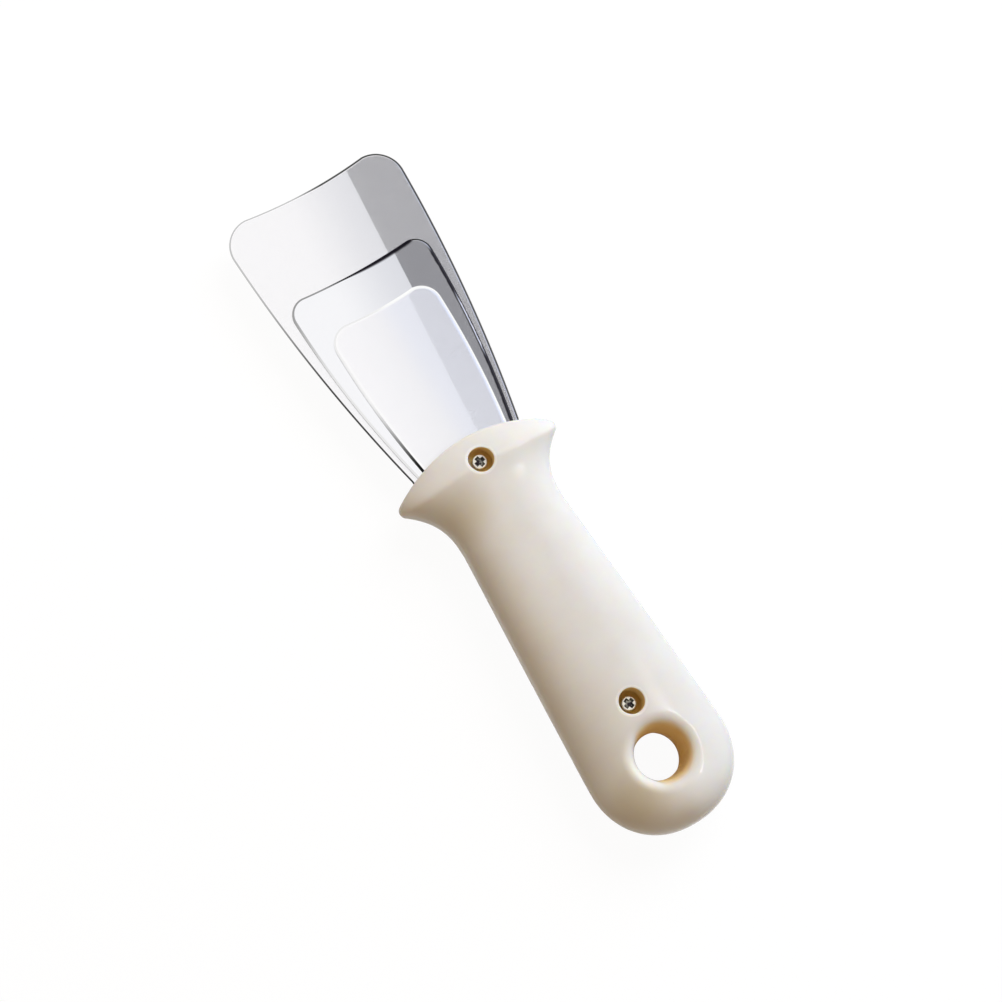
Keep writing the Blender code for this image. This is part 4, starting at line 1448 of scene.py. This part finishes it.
def ivory_plastic(seats, effects):
    """Glossy ivory plastic that lets light in, amber with painted shade in holes, pale with painted
    highlights at rims.
    """
    material, tree, shader, spot = new_material("ivory_plastic")
    height, mottle = effect(tree, effects["grain"], spot)
    scuffs = effect(tree, effects["marks"], spot, size=0.003, amount=0.6)
    colour = mix(tree, mottle.ramp(0.35, 0.65), IVORY, IVORY_MOTTLE)
    # Painted shade: the ivory turns darker and yellower round these places
    for centre_x, centre_y, reach, share in PAINTED_SHADE_PLACES:
        painted_shade = effect(tree, effects["painted_shade_spot"], spot, centre_x=centre_x, centre_y=centre_y + BUTT_END,
                      reach=reach)
        colour = mix(tree, painted_shade * share, colour, PAINTED_SHADE_YELLOW)
    x, _, _ = split(tree, spot)
    # Painted shade on the counterbores' walls: grey on their left side, amber on the rest
    wall = mix(tree, x.ramp(*COUNTERBORE_TURN), PAINTED_GREY_SHADE, PAINTED_AMBER_SHADE)
    holes = 0.0
    for y in seats:
        # Painted highlight: a pale ring round each counterbore's rim
        rim = effect(tree, effects["bore"], spot, centre_y=y + BUTT_END, fade=0.0005,
                     radius=COUNTERBORE_RADIUS + COUNTERBORE_ROUNDING + 0.0002)
        deep = effect(tree, effects["bore"], spot, centre_y=y + BUTT_END, fade=0.0002,
                      radius=COUNTERBORE_RADIUS)
        colour = mix(tree, deep, mix(tree, rim, colour, PAINTED_RIM_HIGHLIGHT), wall)
        holes = holes + deep
    hang_y = HANG_HOLE_Y + BUTT_END
    # Painted highlight on the hang hole's rim, growing towards its left side
    pale = effect(tree, effects["bore"], spot, centre_y=hang_y, radius=HANG_HOLE_NECK + PALE_RIM_WIDTH,
                  fade=PALE_RIM_FADE)
    colour = mix(tree, pale * x.ramp(*PALE_RIM_TURN) * 0.8, colour, PAINTED_RIM_HIGHLIGHT)
    # Painted shade on the hang hole's wall: dark brown on its left side, amber on its right
    right = x.ramp(*HANG_HOLE_TURN)
    deep = effect(tree, effects["bore"], spot, centre_y=hang_y, radius=HANG_HOLE_NECK,
                  fade=right * 0.0016 + 0.0006)
    colour = mix(tree, deep * 0.9, colour, mix(tree, right, PAINTED_BROWN_SHADE, PAINTED_AMBER_SHADE))
    set_inputs(tree, shader, {
        "Base Color": colour, "Roughness": scuffs * 0.14 + 0.15 + (holes + deep) * 0.70,
        # Painted light: the hang hole's right wall glows faintly
        "Emission Color": mix(tree, deep * right, BLACK, PAINTED_WALL_GLOW), "Emission Strength": 1.0,
        "Subsurface Weight": 0.50, "Subsurface Radius": (1.0, 0.7, 0.3), "Subsurface Scale": 0.0035,
        "Normal": bumped(tree, height, GRAIN_HEIGHT)})
    return material


def blade_steel(name, sizes, finish, effects):
    """Polished steel with fine streaks; its edges carry painted shade, painted reflection and a painted
    glint.
    """
    material, tree, shader, spot = new_material(f"{name}_steel")
    streaks = effect(tree, effects["streaks"], spot, share=finish["matt_share"])
    scuffs = effect(tree, effects["marks"], spot, size=0.0016, amount=0.5)
    tip_and_mouth = {"tip_y": sizes["Tip Y"], "mouth_y": sizes["Mouth Y"]}
    # Painted shade and painted reflection on the rolled edge, a tone for each side and end
    rolled, painted_edge_tone = effect(tree, effects["edge"], spot, top=sizes["Top"], drop=sizes["Rim Drop"],
                          **tip_and_mouth, **finish["painted_edge_tones"])
    x, _, _ = split(tree, spot)
    # Painted reflection: the matt streaks take the right part's tint
    matt = mix(tree, x.ramp(*PAINTED_REFLECTION_TURN), finish["matt"], finish["painted_reflection_right"])
    colour = mix(tree, streaks, finish["bright"], matt)
    colour = mix(tree, rolled, colour, place(tree, painted_edge_tone, painted_edge_tone, painted_edge_tone))
    rough = streaks * (MATT_ROUGHNESS - MIRROR_ROUGHNESS + scuffs * 0.10) + MIRROR_ROUGHNESS
    rough = between(rough, GROUND_ROUGHNESS, rolled)
    # Painted shade along the tip, and painted shade with a painted glint along the right side
    if "painted_tip_band" in finish:
        band = effect(tree, effects["painted_tip_band"], spot, tip_y=sizes["Tip Y"], hollow=sizes["Tip Hollow"],
                      half_width=sizes["Half Width"] - sizes["Corner"], **finish["painted_tip_band"])
        line, glint = effect(tree, effects["side"], spot, mouth_y=sizes["Mouth Y"],
                             corner_y=sizes["Tip Y"] - sizes["Corner"], side_bow=sizes["Side Bow"],
                             mouth_half_width=sizes["Mouth Half Width"], half_width=sizes["Half Width"],
                             line_width=finish["painted_side_width"])
        for mask, tint in ((band, PAINTED_TIP_SHADE), (line, PAINTED_SIDE_SHADE), (glint, PAINTED_SIDE_GLINT)):
            colour = mix(tree, mask, colour, tint)
    set_inputs(tree, shader, {"Base Color": colour, "Roughness": rough, "Metallic": 1.0,
                              "Normal": bumped(tree, x * finish["lean"], 1.0)})
    return material


def nickel(effects):
    """Bright plated screws, with painted shade in the cross recess."""
    material, tree, shader, spot = new_material("nickel")
    scuffs = effect(tree, effects["marks"], spot, size=0.0008, amount=0.8)
    recess = node(tree, "ShaderNodeAttribute", attribute_name="recess").outputs["Fac"]
    # Painted shade in the cross recess, blotched dark and grey
    painted_recess_shade = mix(tree, noise(tree, spot, 900.0).ramp(0.42, 0.62), RECESS_SHADE_DARK, RECESS_SHADE_PALE)
    colour = mix(tree, recess, mix(tree, scuffs, NICKEL, NICKEL_WORN), painted_recess_shade)
    set_inputs(tree, shader, {"Base Color": colour, "Roughness": scuffs * 0.2 + 0.30, "Metallic": 1.0})
    return material


# The pieces

def dress(obj, node_name):
    """The piece takes the place of its node, whose mesh is hidden, and moves with the tool."""
    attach(obj, "root")
    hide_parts(node_name)


def pair_of_shells(effects):
    blade_y = node_middle("blade_screw").y - BUTT_END
    butt_y = node_middle("butt_screw").y - BUTT_END
    seats = {}
    for screw in SCREW_TURNS:
        low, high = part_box(screw)
        seats[(low.y + high.y) / 2 - BUTT_END] = high.z - PARTING - SCREW_HEAD_HEIGHT
    ivory = ivory_plastic(seats, effects)
    standing = posts_and_ribs()
    for name, side, own_seats in (("front_shell", FRONT, seats), ("rear_shell", REAR, {})):
        shell = handle_shell(name, side, own_seats)
        hollow_out(shell, side, standing, blade_y, butt_y)
        shell.data.materials.clear()
        shell.data.materials.append(ivory)
        shell.data.shade_smooth()
        shell.data.set_sharp_from_angle(angle=SHELL_CREASE)
        dress(shell, f"handle_{name}")


def stack_of_blades(effects):
    tree = graded_blade()
    screw_y = node_middle("blade_screw").y
    for name, own_sizes in BLADES.items():
        low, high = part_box(f"{name}_blade")
        thickness = high.z - low.z
        sizes = {"Tip Y": high.y, "Mouth Y": BUTT_END + HANDLE_LENGTH - MOUTH_SETBACK,
                 "Half Width": high.x, "Thickness": thickness, "Top": high.z,
                 "Rim Drop": thickness * RIM_DROP_SHARE, "Tang Half Width": TANG_HALF_WIDTH,
                 "Tang End Y": low.y, "Shoulder Y": screw_y - SHOULDER_SETBACK,
                 "Shoulder Slope": SHOULDER_SLOPE, "Screw Y": screw_y, "Screw Hole": SCREW_HOLE_RADIUS,
                 "Pin Y": screw_y - PIN_SETBACK, "Pin Hole": PIN_HOLE_RADIUS, **own_sizes}
        material = blade_steel(name, sizes, FINISHES[name], effects)
        dress(grown(f"{name}_blade_sheet", tree, sizes, material), f"{name}_blade")


def pair_of_screws(effects):
    tree = pan_screw()
    material = nickel(effects)
    for name, turn in SCREW_TURNS.items():
        low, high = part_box(name)
        seat = high.z - SCREW_HEAD_HEIGHT
        sizes = {"Y": (low.y + high.y) / 2, "Seat": seat, "Head Radius": (high.x - low.x) / 2,
                 "Head Height": SCREW_HEAD_HEIGHT, "Length": seat - low.z, "Turn": math.radians(turn),
                 **SCREW_DETAILS}
        screw = grown(f"{name}_turned", tree, sizes, material)
        dress(screw, name)
        screw.data.set_sharp_from_angle(angle=SCREW_CREASE)


def main():
    bpy.context.scene.view_settings.view_transform = "Standard"
    camera()
    white_studio()
    pale_floor()
    studio_light()
    mirror_cards()
    effects = {"bore": bore_mask(), "grain": moulding_grain(), "marks": handling_marks(),
               "streaks": polishing_streaks(), "edge": rolled_edge(), "painted_tip_band": painted_tip_shade_band(),
               "side": painted_side_lines(), "painted_shade_spot": painted_shade_spot()}
    pair_of_shells(effects)
    stack_of_blades(effects)
    pair_of_screws(effects)


main()
